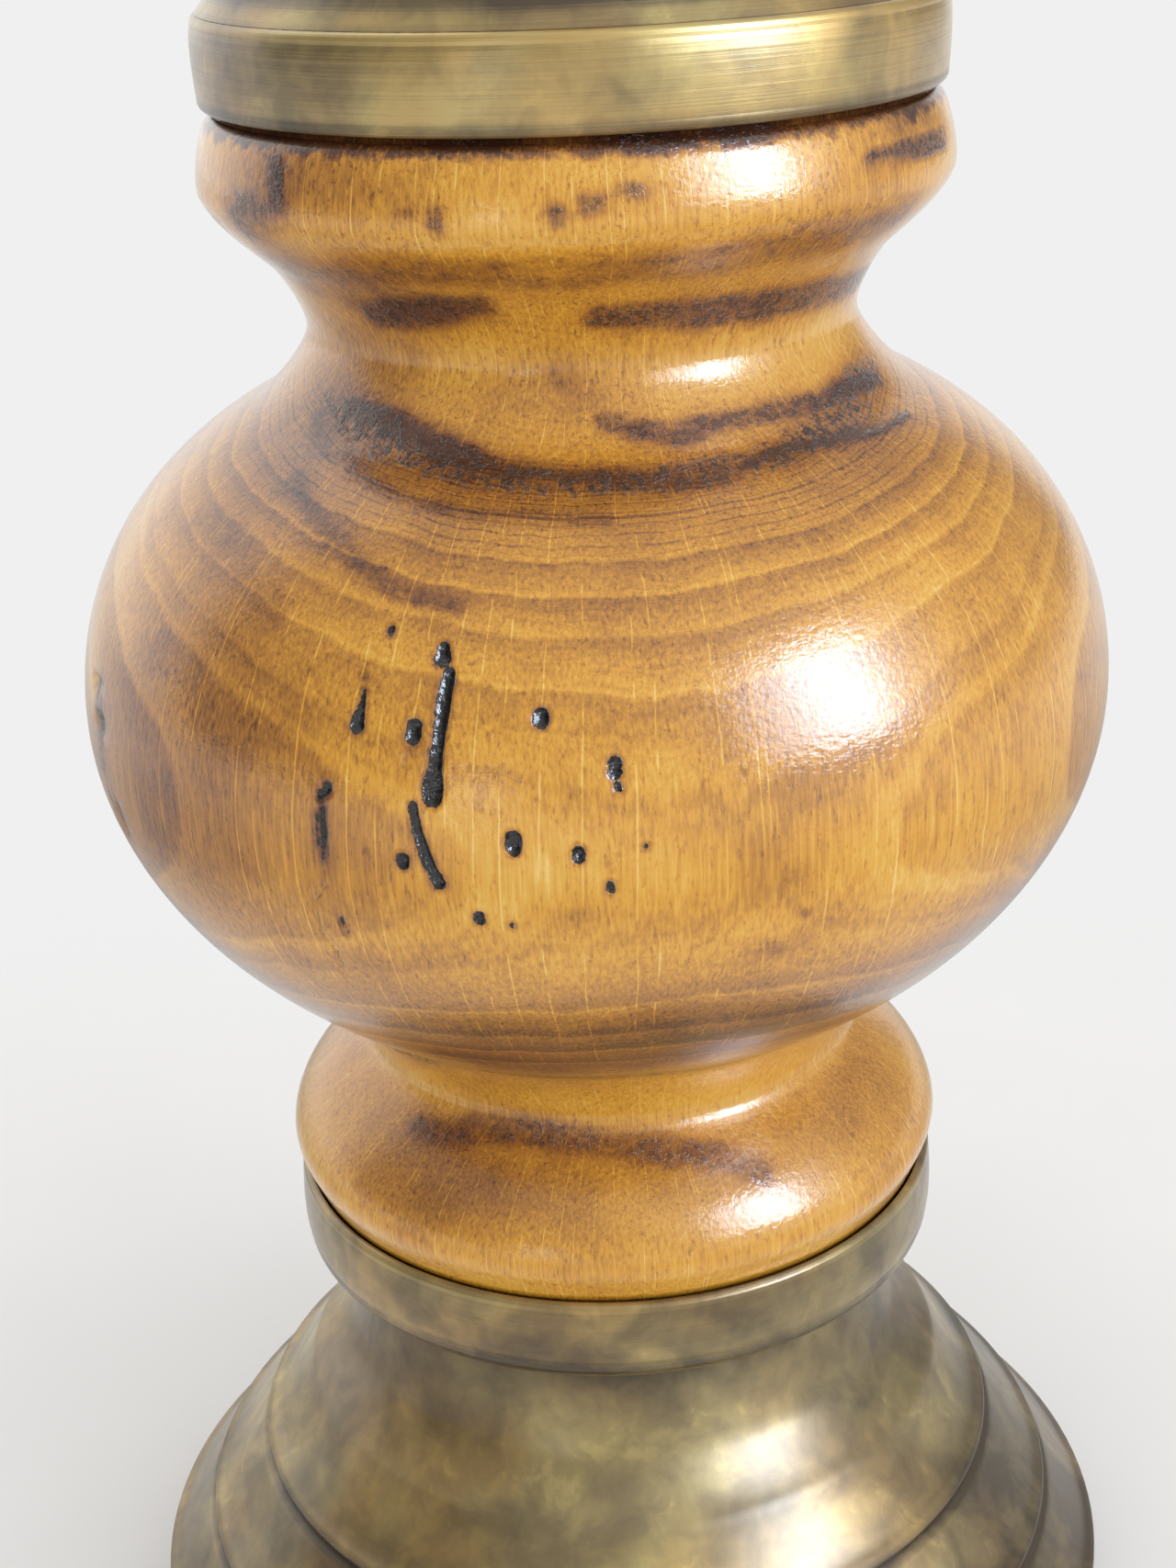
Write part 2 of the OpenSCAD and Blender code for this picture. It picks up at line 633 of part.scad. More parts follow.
module terminal_screws() {
    color(brass) for (a = terminal_a) translate([0, 0, terminal_z]) rotate([0, 90, a])
        translate([0, 0, body_r - 8]) slotted_screw(1.5, 5 + seat, 3.2, 1.8);
}

module screw_shell() {
    outer = screw_shell_r + screw_shell_wall;
    color(brass) translate([0, 0, body_top_z]) difference() {
        cylinder(r = outer, h = screw_shell_h);
        translate([0, 0, -eps]) cylinder(r = screw_shell_r, h = screw_shell_h + 2 * eps);
    }
}

// A springy tongue: riveted at one end, and lifted towards the lamp at the other.
module centre_contact() {
    tongue_w = 4.4;
    tongue_t = 0.5;
    path = [[-5, tongue_t / 2], [-2, tongue_t / 2], [0.6, 1.5], [3.4, 3.2], [5, 3]];
    color(brass) translate([0, tongue_w / 2, body_top_z]) upright()
        linear_extrude(tongue_w) polygon(ribbon(path, tongue_t));
}

module socket_liner() {
    liner_h = shell_top_z + liner_proud - liner_foot_z;
    color("#6a5138") translate([0, 0, liner_foot_z]) difference() {
        cylinder(r = liner_r, h = liner_h);
        translate([0, 0, -eps]) cylinder(r = liner_r - liner_t, h = liner_h + 2 * eps);
        shaft_slot(liner_foot_z);
    }
}

// A keyhole slot for the switch's shaft, open at the bottom, on the side towards -Y.
module shaft_slot(from_z) {
    slot_r = shaft_r + shaft_gap;
    slot_w = 1.7 * slot_r;
    translate([0, 0, shaft_axis_z - from_z]) upright() cylinder(r = slot_r, h = cap_r + 2);
    translate([-slot_w / 2, -cap_r - 2, -eps]) cube([slot_w, cap_r + 2, shaft_axis_z - from_z]);
}

module socket_shell() {
    h = shell_top_z - shell_foot_z;
    color(brass) translate([0, 0, shell_foot_z]) difference() {
        revolved(concat(
            [[shell_r - shell_wall, 0], [shell_r, 0], [shell_r, cap_rim_z - shell_foot_z + 8]],
            turn([shell_r, cap_rim_z - shell_foot_z + 9], 0.6, 1, -90, 90, 6),
            [[shell_r, h - 2]],
            turn([shell_r - 0.1, h - 0.9], 0.9, 0.9, -90, 90, 6),
            [[shell_r - shell_wall, h]]));
        shaft_slot(shell_foot_z);
    }
}

// ---- Switch ----

knob_y = shell_r + knob_gap;

module switch_shaft() {
    inner = 6;
    color(brass) translate([0, -inner, shaft_axis_z]) upright() cylinder(r = shaft_r, h = knob_y + 6 - inner);
}

module switch_knob() {
    color(phenolic) translate([0, -knob_y, shaft_axis_z]) upright() difference() {
        rotate_extrude() polygon(concat(
            [[0, knob_l], [0, 6 + seat], [shaft_r + seat, 6 + seat], [shaft_r + seat, 0], [knob_r - 2, 0],
             [knob_r - 2, 1]],
            turn([knob_r - edge, 1 + edge], edge, edge, -90, 0, 4),
            turn([knob_r - 1.6, knob_l - 1.6], 1.6, 1.6, 0, 90, 6)));
        for (i = [0 : knob_flutes - 1]) rotate([0, 0, i * 360 / knob_flutes])
            translate([knob_r + 0.7, 0, 2.2]) cylinder(r = 1.3, h = knob_l);
    }
}

// ---- Harp ----

side_from = [harp_top + harp_bend * cos(harp_lean), wire_top_z - harp_bend - harp_bend * sin(harp_lean)];
side_to_x = leg_x + leg_bend * (1 - cos(harp_lean));
side_l = (side_from[0] - side_to_x) / sin(harp_lean);
side_to = side_from - side_l * [sin(harp_lean), cos(harp_lean)];
leg_top_z = side_to[1] - leg_bend * sin(harp_lean);
leg_foot_z = prong_z + seat;

// A bend of the wire about c, from angle s through angle a, in the X-Z plane.
module wire_bend(c, r, s, a) {
    translate([c[0], 0, c[1]]) upright() rotate([0, 0, s]) rotate_extrude(angle = a)
        translate([r, 0]) circle(r = wire_r - bend_thin);
}

module harp_wire() {
    translate([wire_end_x, 0, wire_top_z]) rotate([0, 90, 0])
        cylinder(r = wire_r, h = harp_top + lap - wire_end_x);
    wire_bend([harp_top, wire_top_z - harp_bend], harp_bend, -harp_lean, 90 + harp_lean);
    translate([side_to[0], 0, side_to[1]]) rotate([0, harp_lean, 0]) translate([0, 0, -lap])
        cylinder(r = wire_r, h = side_l + 2 * lap);
    wire_bend([leg_x + leg_bend, leg_top_z], leg_bend, 180 - harp_lean, harp_lean);
    translate([leg_x, 0, leg_foot_z]) cylinder(r = wire_r, h = leg_top_z - leg_foot_z + lap);
}

module harp_wire_right() {
    color(brass) harp_wire();
}

module harp_wire_left() {
    color(brass) mirror([1, 0, 0]) harp_wire();
}

// A disc with a blind hole in each side, where the wires are swaged in.
module harp_hub() {
    hole_end_x = wire_end_x - seat;
    color(brass) translate([0, 0, wire_top_z]) difference() {
        translate([0, 0, -hub_disc_t / 2]) cylinder(r = hub_disc_r, h = hub_disc_t);
        translate([0, 0, -hub_disc_t]) cylinder(r = rivet_r + nest_gap / 2, h = 2 * hub_disc_t);
        for (side = [-1, 1]) translate([side * hole_end_x, 0, 0]) rotate([0, side * 90, 0])
            cylinder(r = wire_r + seat, h = hub_disc_r);
    }
}

module harp_stud() {
    disc_z = hub_top_z - hub_disc_t;
    color(brass) revolved([
        [0, disc_z - 1.2], [3.6, disc_z - 1.2], [4.2, disc_z], [rivet_r, disc_z], [rivet_r, hub_top_z],
        [flange_r, hub_top_z], [flange_r, finial_z], [stud_r, finial_z],
        [stud_r, finial_z + stud_l - edge], [stud_r - edge, finial_z + stud_l], [0, finial_z + stud_l]]);
}

// The saddle's strip runs along its flat, up each arm, and ends in a shoulder under each prong.
module harp_saddle() {
    mid_t = saddle_z + strap_t / 2;
    arm = concat(
        [[saddle_flat - 3, mid_t]],
        stretch([saddle_flat, mid_t], [18, 0], [prong_x + strap_t / 2, prong_z - strap_t / 2], [0, 26], 16));
    strip = ribbon(concat(reversed([for (p = arm) [-p[0], p[1]]]), arm), strap_t);
    color(brass) difference() {
        union() {
            translate([0, strap_w / 2, 0]) upright() linear_extrude(strap_w) polygon(strip);
            translate([0, 0, saddle_z]) cylinder(r = saddle_flat - 2, h = strap_t);
            for (m = [0, 1]) mirror([m, 0, 0]) {
                translate([prong_x, -prong_w / 2, prong_z - strap_t / 2]) cube([strap_t, prong_w, prong_h]);
                translate([leg_x - wire_r, -strap_w / 2 - 1, prong_z - strap_t])
                    cube([prong_x + strap_t - leg_x + wire_r + 1, strap_w + 2, strap_t]);
            }
        }
        translate([0, 0, saddle_z - 1]) cylinder(r = rod_hole_r, h = strap_t + 2);
    }
}

module harp_sleeve(side) {
    color(brass) translate([side * sleeve_x, 0, prong_z + sleeve_gap]) difference() {
        revolved(concat(
            [[0, 0]],
            turn([sleeve_bore_r + sleeve_wall - edge, edge], edge, edge, -90, 0, 3),
            turn([sleeve_bore_r + sleeve_wall - edge, sleeve_l - edge], edge, edge, 0, 90, 3),
            [[0, sleeve_l]]));
        translate([0, 0, -eps]) cylinder(r = sleeve_bore_r, h = sleeve_l + 2 * eps);
    }
}

// ---- Finial ----

module finial() {
    bore_r = stud_r + run_gap;
    top_z = finial_z + finial_h;
    ball_c = top_z - finial_r - 2.5;
    color(brass) revolved(concat(
        [[0, finial_z + stud_l + 1], [bore_r, finial_z + stud_l + 1], [bore_r, finial_z + seat],
         [finial_foot_r - edge, finial_z + seat]],
        turn([finial_foot_r - edge, finial_z + seat + 1.2], edge, 1.2, -90, 90, 6),
        stretch([finial_foot_r - 1.2, finial_z + 3], [-2, 2], [5, ball_c - finial_r + 0.4], [2.2, 0.4], 6),
        turn([0, ball_c], finial_r, finial_r, -58, 74, 16),
        stretch([2.4, top_z - 2.4], [-0.4, 1.2], [0, top_z], [-2.4, 0], 5)));
}

felt_pad();
base_weight();
rod_nut();
lock_washer();
base_bell();
cord_bushing();
lower_cup();
turned_wood_body();
upper_cup();
shoulder_bell();
knop();
column();
crown_cap();
center_rod();
stack_nut();
harp_saddle();
socket_cap();
set_screw();
socket_body();
terminal_screws();
screw_shell();
centre_contact();
socket_liner();
socket_shell();
switch_shaft();
switch_knob();
harp_wire_left();
harp_wire_right();
harp_hub();
harp_stud();
harp_sleeve(-1);  // harp_sleeve_left
harp_sleeve(1);  // harp_sleeve_right
finial();
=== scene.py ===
import math

import bpy
import numpy as np
from mathutils import Matrix, Vector


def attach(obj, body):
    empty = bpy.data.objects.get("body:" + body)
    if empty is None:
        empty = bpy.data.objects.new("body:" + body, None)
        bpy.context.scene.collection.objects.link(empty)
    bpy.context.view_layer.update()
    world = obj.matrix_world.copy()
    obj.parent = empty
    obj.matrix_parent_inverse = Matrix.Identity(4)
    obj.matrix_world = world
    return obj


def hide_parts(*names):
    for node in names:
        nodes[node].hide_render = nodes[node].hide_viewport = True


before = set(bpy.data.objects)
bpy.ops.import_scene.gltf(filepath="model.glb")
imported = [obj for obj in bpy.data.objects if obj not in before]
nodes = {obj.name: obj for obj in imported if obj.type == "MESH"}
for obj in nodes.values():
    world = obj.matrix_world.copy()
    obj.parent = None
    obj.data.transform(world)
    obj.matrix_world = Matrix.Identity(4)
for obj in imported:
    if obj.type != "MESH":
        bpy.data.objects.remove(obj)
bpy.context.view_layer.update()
scene = bpy.context.scene
scene.view_settings.view_transform = "Standard"


# ---- Camera ----
# A close view from a little above the upper cup, looking down, that takes in the lamp from its bell to
# the brass over the wood.
camera = bpy.data.objects.new("camera", bpy.data.cameras.new("camera"))
scene.collection.objects.link(camera)
scene.camera = camera
stands_at = Vector((0, -0.31265, 0.274875))
to_right = Vector((0.99916793, -0.01082595, -0.03932234))
to_foot = Vector((-0.04042472, -0.39080493, -0.91958542))
ahead = Vector((-0.00541197, 0.92040986, -0.39091739))
facing_lamp = Matrix((to_right, -to_foot, -ahead)).transposed().to_4x4()
camera.matrix_world = Matrix.Translation(stands_at) @ facing_lamp
camera.data.lens = 54.07
camera.data.sensor_width = 36
camera.data.clip_start = 0.01


# ---- Room ----
# A white room, brightest on the wall behind the lamp and dim on the viewer's side. The same walls show
# in the brass and the lacquer.
room = bpy.data.worlds.new("white_room")
scene.world = room
room.use_nodes = True
walls = room.node_tree
backdrop_white = 0.87
dimmest, by_window, brightest = 0.13, 0.50, 1.5
daylight = 1.02
window_side = (0.766, -0.643, 0)


def wall_step(kind, *values, **settings):
    """Adds one step to the room's walls and returns what comes out of it."""
    step = walls.nodes.new(kind)
    for key, value in settings.items():
        setattr(step, key, value)
    for socket, value in zip(step.inputs, values):
        if isinstance(value, bpy.types.NodeSocket):
            walls.links.new(value, socket)
        elif value is not None:
            socket.default_value = value
    return step


look = wall_step("ShaderNodeTexCoord").outputs["Generated"]
aim = wall_step("ShaderNodeSeparateXYZ", look)
to_window = wall_step("ShaderNodeVectorMath", look, window_side, operation="DOT_PRODUCT").outputs["Value"]
near_walls = wall_step("ShaderNodeMapRange", to_window, -0.4, 1.0, dimmest, by_window,
                       interpolation_type="SMOOTHSTEP").outputs["Result"]
right_side = wall_step("ShaderNodeMath", aim.outputs["X"], 0.0, operation="MAXIMUM").outputs[0]
behind = wall_step("ShaderNodeMath", right_side, -1.2, aim.outputs["Y"],
                   operation="MULTIPLY_ADD").outputs[0]
far_left = wall_step("ShaderNodeMapRange", aim.outputs["X"], -0.8, 0.0, 1.35, 1.0).outputs["Result"]
back_wall = wall_step("ShaderNodeMapRange", behind, 0.05, 0.40, near_walls, far_left,
                      interpolation_type="SMOOTHSTEP").outputs["Result"]
ceiling = wall_step("ShaderNodeMapRange", aim.outputs["Z"], 0.45, 1.0, 0.0, 0.5).outputs["Result"]
topped = wall_step("ShaderNodeMath", back_wall, ceiling, operation="ADD").outputs[0]
bright = wall_step("ShaderNodeMath", topped, brightest, operation="MINIMUM").outputs[0]
# What the brass and lacquer mirror is brighter and darker by turns. What lights the lamp softly is even.
path = wall_step("ShaderNodeLightPath").outputs
mirrored = wall_step("ShaderNodeMath", path["Is Glossy Ray"], path["Is Transmission Ray"],
                     operation="MAXIMUM").outputs[0]
soft = wall_step("ShaderNodeMapRange", aim.outputs["X"], -1.0, 1.0,
                 daylight * 0.84, daylight * 1.02).outputs["Result"]
lit = wall_step("ShaderNodeMix", mirrored, None, soft, bright).outputs[0]
seen = wall_step("ShaderNodeMix", path["Is Camera Ray"], None, lit, backdrop_white).outputs[0]
walls.links.new(seen, walls.nodes["Background"].inputs["Strength"])
walls.nodes["Background"].inputs["Color"].default_value = (1, 1, 1, 1)


# ---- Windows ----
# One wide window lights the lamp from the right and above. The sky is brightest and bluest in its middle
# and left panes, which add only glints. A small window far off on the viewer's left adds a faint light.
lamp_middle = Vector((0, 0, 0.17))
blue_sky = (0.80, 0.94, 1.20)


def window(name, azimuth, elevation, away, width, height, watts, sky=(1, 1, 1), glint_only=False):
    """Hangs a soft rectangular light. Azimuth 0 is on the viewer's side and 90 on the right."""
    turn_to, rise = math.radians(azimuth), math.radians(elevation)
    level = math.cos(rise)
    outward = Vector((math.sin(turn_to) * level, -math.cos(turn_to) * level, math.sin(rise)))
    pane = bpy.data.lights.new(name, "AREA")
    pane.shape = "RECTANGLE"
    pane.size, pane.size_y, pane.energy = width, height, watts
    pane.color = sky
    hung = bpy.data.objects.new(name, pane)
    scene.collection.objects.link(hung)
    hung.location = lamp_middle + outward * away
    hung.rotation_mode = "QUATERNION"
    hung.rotation_quaternion = (-outward).to_track_quat("-Z", "Y")
    hung.visible_diffuse = not glint_only


window("tall_window", 57, 21, 1.30, 0.98, 0.76, 3.7)
window("middle_pane", 55, 21, 1.31, 0.42, 0.74, 12.0, blue_sky, glint_only=True)
window("left_pane", 40, 21, 1.32, 0.34, 0.70, 3.4, blue_sky, glint_only=True)
window("far_window", -25, 2, 2.0, 0.34, 0.40, 0.9)


# ---- Table ----
# A plain white table top under the lamp. It takes the lamp's shadow near the foot, and runs out into
# the white of the room.
class Finish:
    """A new material, with short ways to add the steps of its finish and to join them."""

    def __init__(self, name):
        self.made = bpy.data.materials.new(name)
        self.made.use_nodes = True
        self.tree = self.made.node_tree
        self.shader = self.tree.nodes["Principled BSDF"]
        self.place = self.step("ShaderNodeTexCoord").outputs["Object"]
        self.mm = self.vector("MULTIPLY", self.place, (1000, 1000, 1000))

    def set(self, socket, value):
        """Joins a socket to the step that feeds it, or writes a plain value in it."""
        if isinstance(value, bpy.types.NodeSocket):
            self.tree.links.new(value, socket)
        else:
            socket.default_value = value

    def step(self, kind, *values, **settings):
        """Adds a step, with the values for its sockets in their order."""
        step = self.tree.nodes.new(kind)
        for key, value in settings.items():
            setattr(step, key, value)
        for socket, value in zip(step.inputs, values):
            self.set(socket, value)
        return step

    def sum(self, operation, *values, clamp=False):
        """Works out one number from others."""
        return self.step("ShaderNodeMath", *values, operation=operation, use_clamp=clamp).outputs[0]

    def vector(self, operation, *values):
        """Works out a place or direction, or its length, from others."""
        made = self.step("ShaderNodeVectorMath", *values, operation=operation)
        return made.outputs["Value" if operation == "LENGTH" else "Vector"]

    def fade(self, value, low, high, at_low=0.0, at_high=1.0, smooth=True):
        """Takes a value from at_low to at_high as it goes from low to high."""
        kind = "SMOOTHSTEP" if smooth else "LINEAR"
        return self.step("ShaderNodeMapRange", value, low, high, at_low, at_high,
                         interpolation_type=kind).outputs["Result"]

    def cloud(self, where, size, detail=2.0, rough=0.5, stretch=(1, 1, 1), out="Fac"):
        """Soft random patches of about size mm, drawn out along an axis where stretch is over 1."""
        squeezed = self.vector("MULTIPLY", where, [1 / s / size for s in stretch])
        made = self.step("ShaderNodeTexNoise")
        self.set(made.inputs["Vector"], squeezed)
        for key, value in (("Scale", 1.0), ("Detail", detail), ("Roughness", rough)):
            made.inputs[key].default_value = value
        return made.outputs[out]

    def ramp(self, value, stops):
        """Reads a value off a list of (place, tone or colour) stops."""
        made = self.step("ShaderNodeValToRGB", value)
        elements = made.color_ramp.elements
        while len(elements) < len(stops):
            elements.new(1.0)
        for element, (at, tone) in zip(elements, stops):
            element.position = at
            element.color = (*tone, 1) if isinstance(tone, tuple) else (tone, tone, tone, 1)
        return made.outputs["Color"]

    def mix(self, share, one, other):
        """Goes from one colour to the other as share goes from 0 to 1."""
        made = self.step("ShaderNodeMix", data_type="RGBA")
        for key, value in ((0, share), (6, one), (7, other)):
            if isinstance(value, tuple):
                value = (*value, 1)
            self.set(made.inputs[key], value)
        return made.outputs[2]

    def mark(self, name):
        """Reads what the mesh was marked with."""
        return self.step("ShaderNodeAttribute", attribute_name=name).outputs["Fac"]

    def relief(self, height, deep, under=None):
        """Raises the surface by a height of 0 to 1 times deep, in mm."""
        made = self.step("ShaderNodeBump")
        made.inputs["Strength"].default_value = 1.0
        made.inputs["Distance"].default_value = deep / 1000
        self.set(made.inputs["Height"], height)
        if under is not None:
            self.set(made.inputs["Normal"], under)
        return made.outputs["Normal"]

    def give(self, **values):
        """Sets the shader's own sockets, such as Base_Color or Roughness."""
        for key, value in values.items():
            if isinstance(value, tuple):
                value = (*value, 1)
            self.set(self.shader.inputs[key.replace("_", " ")], value)
        return self.made


rings, spokes, table_r = 24, 96, 3.0
reach = [table_r * (i / rings) ** 2.2 for i in range(1, rings + 1)]
points = [(0, 0, 0)] + [(r * math.cos(2 * math.pi * k / spokes), r * math.sin(2 * math.pi * k / spokes), 0)
                        for r in reach for k in range(spokes)]
faces = [(0, 1 + k, 1 + (k + 1) % spokes) for k in range(spokes)]
faces += [(1 + i * spokes + k, 1 + (i + 1) * spokes + k, 1 + (i + 1) * spokes + (k + 1) % spokes,
           1 + i * spokes + (k + 1) % spokes) for i in range(rings - 1) for k in range(spokes)]
top = bpy.data.meshes.new("table_top")
top.from_pydata(points, [], faces)
table = bpy.data.objects.new("table_top", top)
scene.collection.objects.link(table)

# Near the lamp the paint shows its shadow. Further out it passes into the white of the room.
paint = Finish("white_table")
away = paint.vector("LENGTH", paint.place)
view_path = paint.step("ShaderNodeLightPath").outputs
shown = paint.sum("MAXIMUM", view_path["Is Camera Ray"], view_path["Is Glossy Ray"])
plain = paint.fade(away, 0.11, 0.34)
# In reflections the table is dimmer out to 0.75 m from the lamp: painted shade on its glow, which darkens
# what the brass mirrors.
mirrored_table = paint.fade(away, 0.18, 0.75, 0.35, 1.0)
seen_table = paint.sum("MAXIMUM", view_path["Is Camera Ray"], mirrored_table)
glow = paint.step("ShaderNodeEmission", (backdrop_white, backdrop_white, backdrop_white, 1), seen_table)
either = paint.step("ShaderNodeMixShader", paint.sum("MULTIPLY", shown, plain),
                    paint.shader.outputs[0], glow.outputs[0])
paint.tree.links.new(either.outputs[0], paint.tree.nodes["Material Output"].inputs["Surface"])
tone = paint.cloud(paint.mm, 60, 3)
paint.give(Base_Color=paint.ramp(tone, [(0.3, (0.87, 0.87, 0.865)), (0.7, (0.90, 0.90, 0.895))]),
           Roughness=0.8, Specular_IOR_Level=0.0,
           Normal=paint.relief(paint.cloud(paint.mm, 1.2, 3), 0.02))
top.materials.append(paint.made)


# ---- Felt pad ----
# A disc of brown wool felt, cut to fit inside the foot band and glued under the weight. It keeps the
# brass from scratching the table.
def dress(finish, *names):
    """Gives a finish to the lamp's own pieces."""
    for name in names:
        for slot in nodes[name].material_slots:
            slot.material = finish


felt = Finish("brown_felt")
wool = felt.cloud(felt.mm, 0.5, 4, 0.7)
felt.give(Base_Color=felt.ramp(wool, [(0.3, (0.055, 0.034, 0.020)), (0.7, (0.15, 0.10, 0.062))]),
          Roughness=0.95, Sheen_Weight=0.4, Sheen_Roughness=0.5, Normal=felt.relief(wool, 0.25))
dress(felt.made, "felt_pad")


# ---- Weight and fasteners ----
# A cast iron weight in the base, and the steel nut, lock washer and rod that hold the stack together.
# None of them shows when the lamp stands.
iron = Finish("painted_iron")
sand = iron.cloud(iron.mm, 0.8, 5, 0.6)
iron.give(Base_Color=iron.ramp(sand, [(0.3, (0.012, 0.012, 0.013)), (0.8, (0.04, 0.038, 0.036))]),
          Roughness=iron.fade(sand, 0.3, 0.7, 0.55, 0.75), Normal=iron.relief(sand, 0.3))
dress(iron.made, "base_weight")

zinc = Finish("zinc_steel")
spangle = zinc.cloud(zinc.mm, 1.5, 3)
zinc.give(Base_Color=zinc.ramp(spangle, [(0.3, (0.38, 0.38, 0.37)), (0.7, (0.62, 0.62, 0.60))]),
          Metallic=1.0, Roughness=zinc.fade(spangle, 0.3, 0.7, 0.28, 0.45),
          Normal=zinc.relief(spangle, 0.02))
dress(zinc.made, "rod_nut", "lock_washer", "center_rod", "set_screw")


# ---- Brass bell ----
# The base is spun from sheet brass: a foot band, two stepped flares and a trumpet up to the cup. It is
# antiqued brown, rubbed back by hand so that the high places come up golden, and lacquered satin.
def antique_brass(name, dark, middle, gold, heights=(), painted_shade_sides=(), patch=16, wear=1.0, lines=0.4,
                  shine=0.46, worn=0.0, eased=0.0, lacquer=0.22):
    """Antiqued brass, from dark where the brown was left to gold where it is rubbed back.

    heights are rings of (z in mm, spread, lift): lift over 0 is rubbed bright and under 0 is darker, which
    under and along the bottom of the cups is painted shade. sides are (x in mm, x where it is full, lift)
    and darken one side as painted shade. patch is the patches' size in mm and wear their strength.
    lines is how strong the turned lines are, and worn how far all of it is rubbed. shine is the roughness
    of the brass and lacquer that of the lacquer. eased softens creases over so many mm.
    """
    brass = Finish(name)
    mm = brass.mm
    drift = brass.vector("MULTIPLY", brass.cloud(mm, 12, 2, out="Color"), (9, 9, 9))
    drifted = brass.vector("ADD", mm, drift)
    patches = brass.fade(brass.cloud(drifted, patch, 2, 0.45), 0.32, 0.68, -0.5, 0.5, False)
    mottle = brass.fade(brass.cloud(drifted, 3.4, 4, 0.6), 0.32, 0.68, -0.5, 0.5, False)
    crumbs = brass.fade(brass.cloud(drifted, 4.6, 4, 0.62), 0.54, 0.66)
    turned = brass.fade(brass.cloud(mm, 1, 3, 0.65, (60, 60, 0.16)), 0.3, 0.7, -0.5, 0.5, False)
    tone = brass.sum("MULTIPLY_ADD", patches, 0.50 * wear, 0.42 + worn)
    tone = brass.sum("MULTIPLY_ADD", mottle, 0.20 * wear, tone)
    tone = brass.sum("MULTIPLY_ADD", turned, lines * 0.5, tone)
    x, z = (brass.step("ShaderNodeSeparateXYZ", mm).outputs[k] for k in ("X", "Z"))
    for start, end, lift in painted_shade_sides:
        tone = brass.sum("ADD", tone, brass.fade(x, start, end, 0.0, lift))
    for height, spread, lift in heights:
        off = brass.sum("ABSOLUTE", brass.sum("SUBTRACT", z, height))
        tone = brass.sum("ADD", tone, brass.fade(off, 0.15 * spread, spread, lift, 0.0))
    rubbed_through = brass.sum("MULTIPLY", crumbs, brass.fade(patches, -0.1, 0.4))
    tone = brass.sum("MULTIPLY_ADD", rubbed_through, 0.15 * wear, tone, clamp=True)
    brown = brass.fade(brass.cloud(mm, 21, 2), 0.40, 0.62)
    colour = brass.ramp(tone, [(0.0, dark), (0.45, middle), (1.0, gold)])
    browner = brass.vector("MULTIPLY", colour, (1.02, 0.84, 0.70))
    colour = brass.mix(brass.sum("MULTIPLY", brown, 0.7), colour, browner)
    skin = brass.sum("MULTIPLY_ADD", turned, lines * 2, brass.cloud(mm, 4, 2))
    form = brass.step("ShaderNodeBevel", eased / 1000, samples=6).outputs["Normal"] if eased else None
    surface = brass.relief(skin, 0.010, form)
    rough = brass.fade(tone, 0.0, 1.0, shine + 0.10, shine - 0.03, False)
    brass.give(Base_Color=colour, Metallic=0.7, Roughness=rough, Specular_IOR_Level=0.2, Normal=surface,
               Coat_Weight=0.9, Coat_Roughness=lacquer, Coat_IOR=1.65, Coat_Normal=surface)
    return brass.made


patina, olive, rubbed = (0.080, 0.054, 0.022), (0.262, 0.194, 0.078), (0.60, 0.455, 0.165)
# Painted shade: the bell is darker just under the lower cup, at 71 mm, and towards its right side.
bell_brass = antique_brass(
    "bell_brass", patina, olive, rubbed,
    heights=[(23.9, 1.5, -0.5), (36.6, 1.5, -0.5), (25.3, 0.7, 0.05), (37.9, 0.7, 0.07),
             (44.0, 6.0, 0.14), (71.0, 7.0, -0.34), (13.7, 0.7, 0.10), (1.4, 2.0, -0.30)],
    painted_shade_sides=[(15, 75, -0.45)], patch=15, lines=0.03, eased=2.5, lacquer=0.29)
dress(bell_brass, "base_bell")


# ---- Cord bushing ----
# A black moulded bushing pressed into the back of the foot band, where the cord goes in. Its flange
# keeps the cord off the brass's thin edge.
rubber = Finish("black_bushing")
dust = rubber.cloud(rubber.mm, 2, 3)
rubber.give(Base_Color=rubber.ramp(dust, [(0.3, (0.016, 0.016, 0.016)), (0.7, (0.028, 0.028, 0.028))]),
            Roughness=0.5, Normal=rubber.relief(rubber.cloud(rubber.mm, 0.3, 2), 0.02))
dress(rubber.made, "cord_bushing")


# ---- Brass cups ----
# Two shallow spun cups grip the wood's tenons. Their bands keep fine turned lines and are rubbed golden
# along the edge that the hand meets.
# Painted shade along the bottom of each cup, where the lower one meets the bell and the upper one sits over
# the wood. The left of the upper band is painted darker, a painted reflection of the dim side of the room.
dress(antique_brass("lower_cup_brass", patina, olive, rubbed,
                    heights=[(84.9, 0.9, 0.16), (74.6, 2.0, -0.34)], patch=11, lines=0.22, shine=0.44),
      "lower_cup")
dress(antique_brass("upper_cup_brass", patina, olive, rubbed,
                    heights=[(249.9, 1.0, 0.30), (240.0, 1.2, -0.35)], painted_shade_sides=[(-12, -48, -0.42)],
                    patch=14, lines=0.44, shine=0.42, worn=0.34),
      "upper_cup")


# ---- Wood body ----
# A baluster turned from one block with its heart just off the middle, so the growth rings lie round it
# like hills on a map. It is stained amber, its worm holes are filled black, and it is lacquered glossy.
wood_foot_z, wood_h, ball_r = 85.6, 152.8, 70.7
foot_r, top_r, low_bead_r, low_neck_r, up_neck_r, up_bead_r = 46.3, 46.2, 48.3, 35.7, 36.3, 48.9
low_join_r, up_join_r = 42.4, 44.2
low_bead_z, low_neck_z, low_join_z, ball_z, up_join_z, up_neck_z, up_bead_z = (
    wood_h * s for s in (0.035, 0.1414, 0.2105, 0.4914, 0.7545, 0.8205, 0.9432))
bore_r, low_tenon_r, top_tenon_r, low_tenon, high_tenon = 6.0, 46.0, 45.6, 11.5, 11.0
heart = (1.5, -12.0)
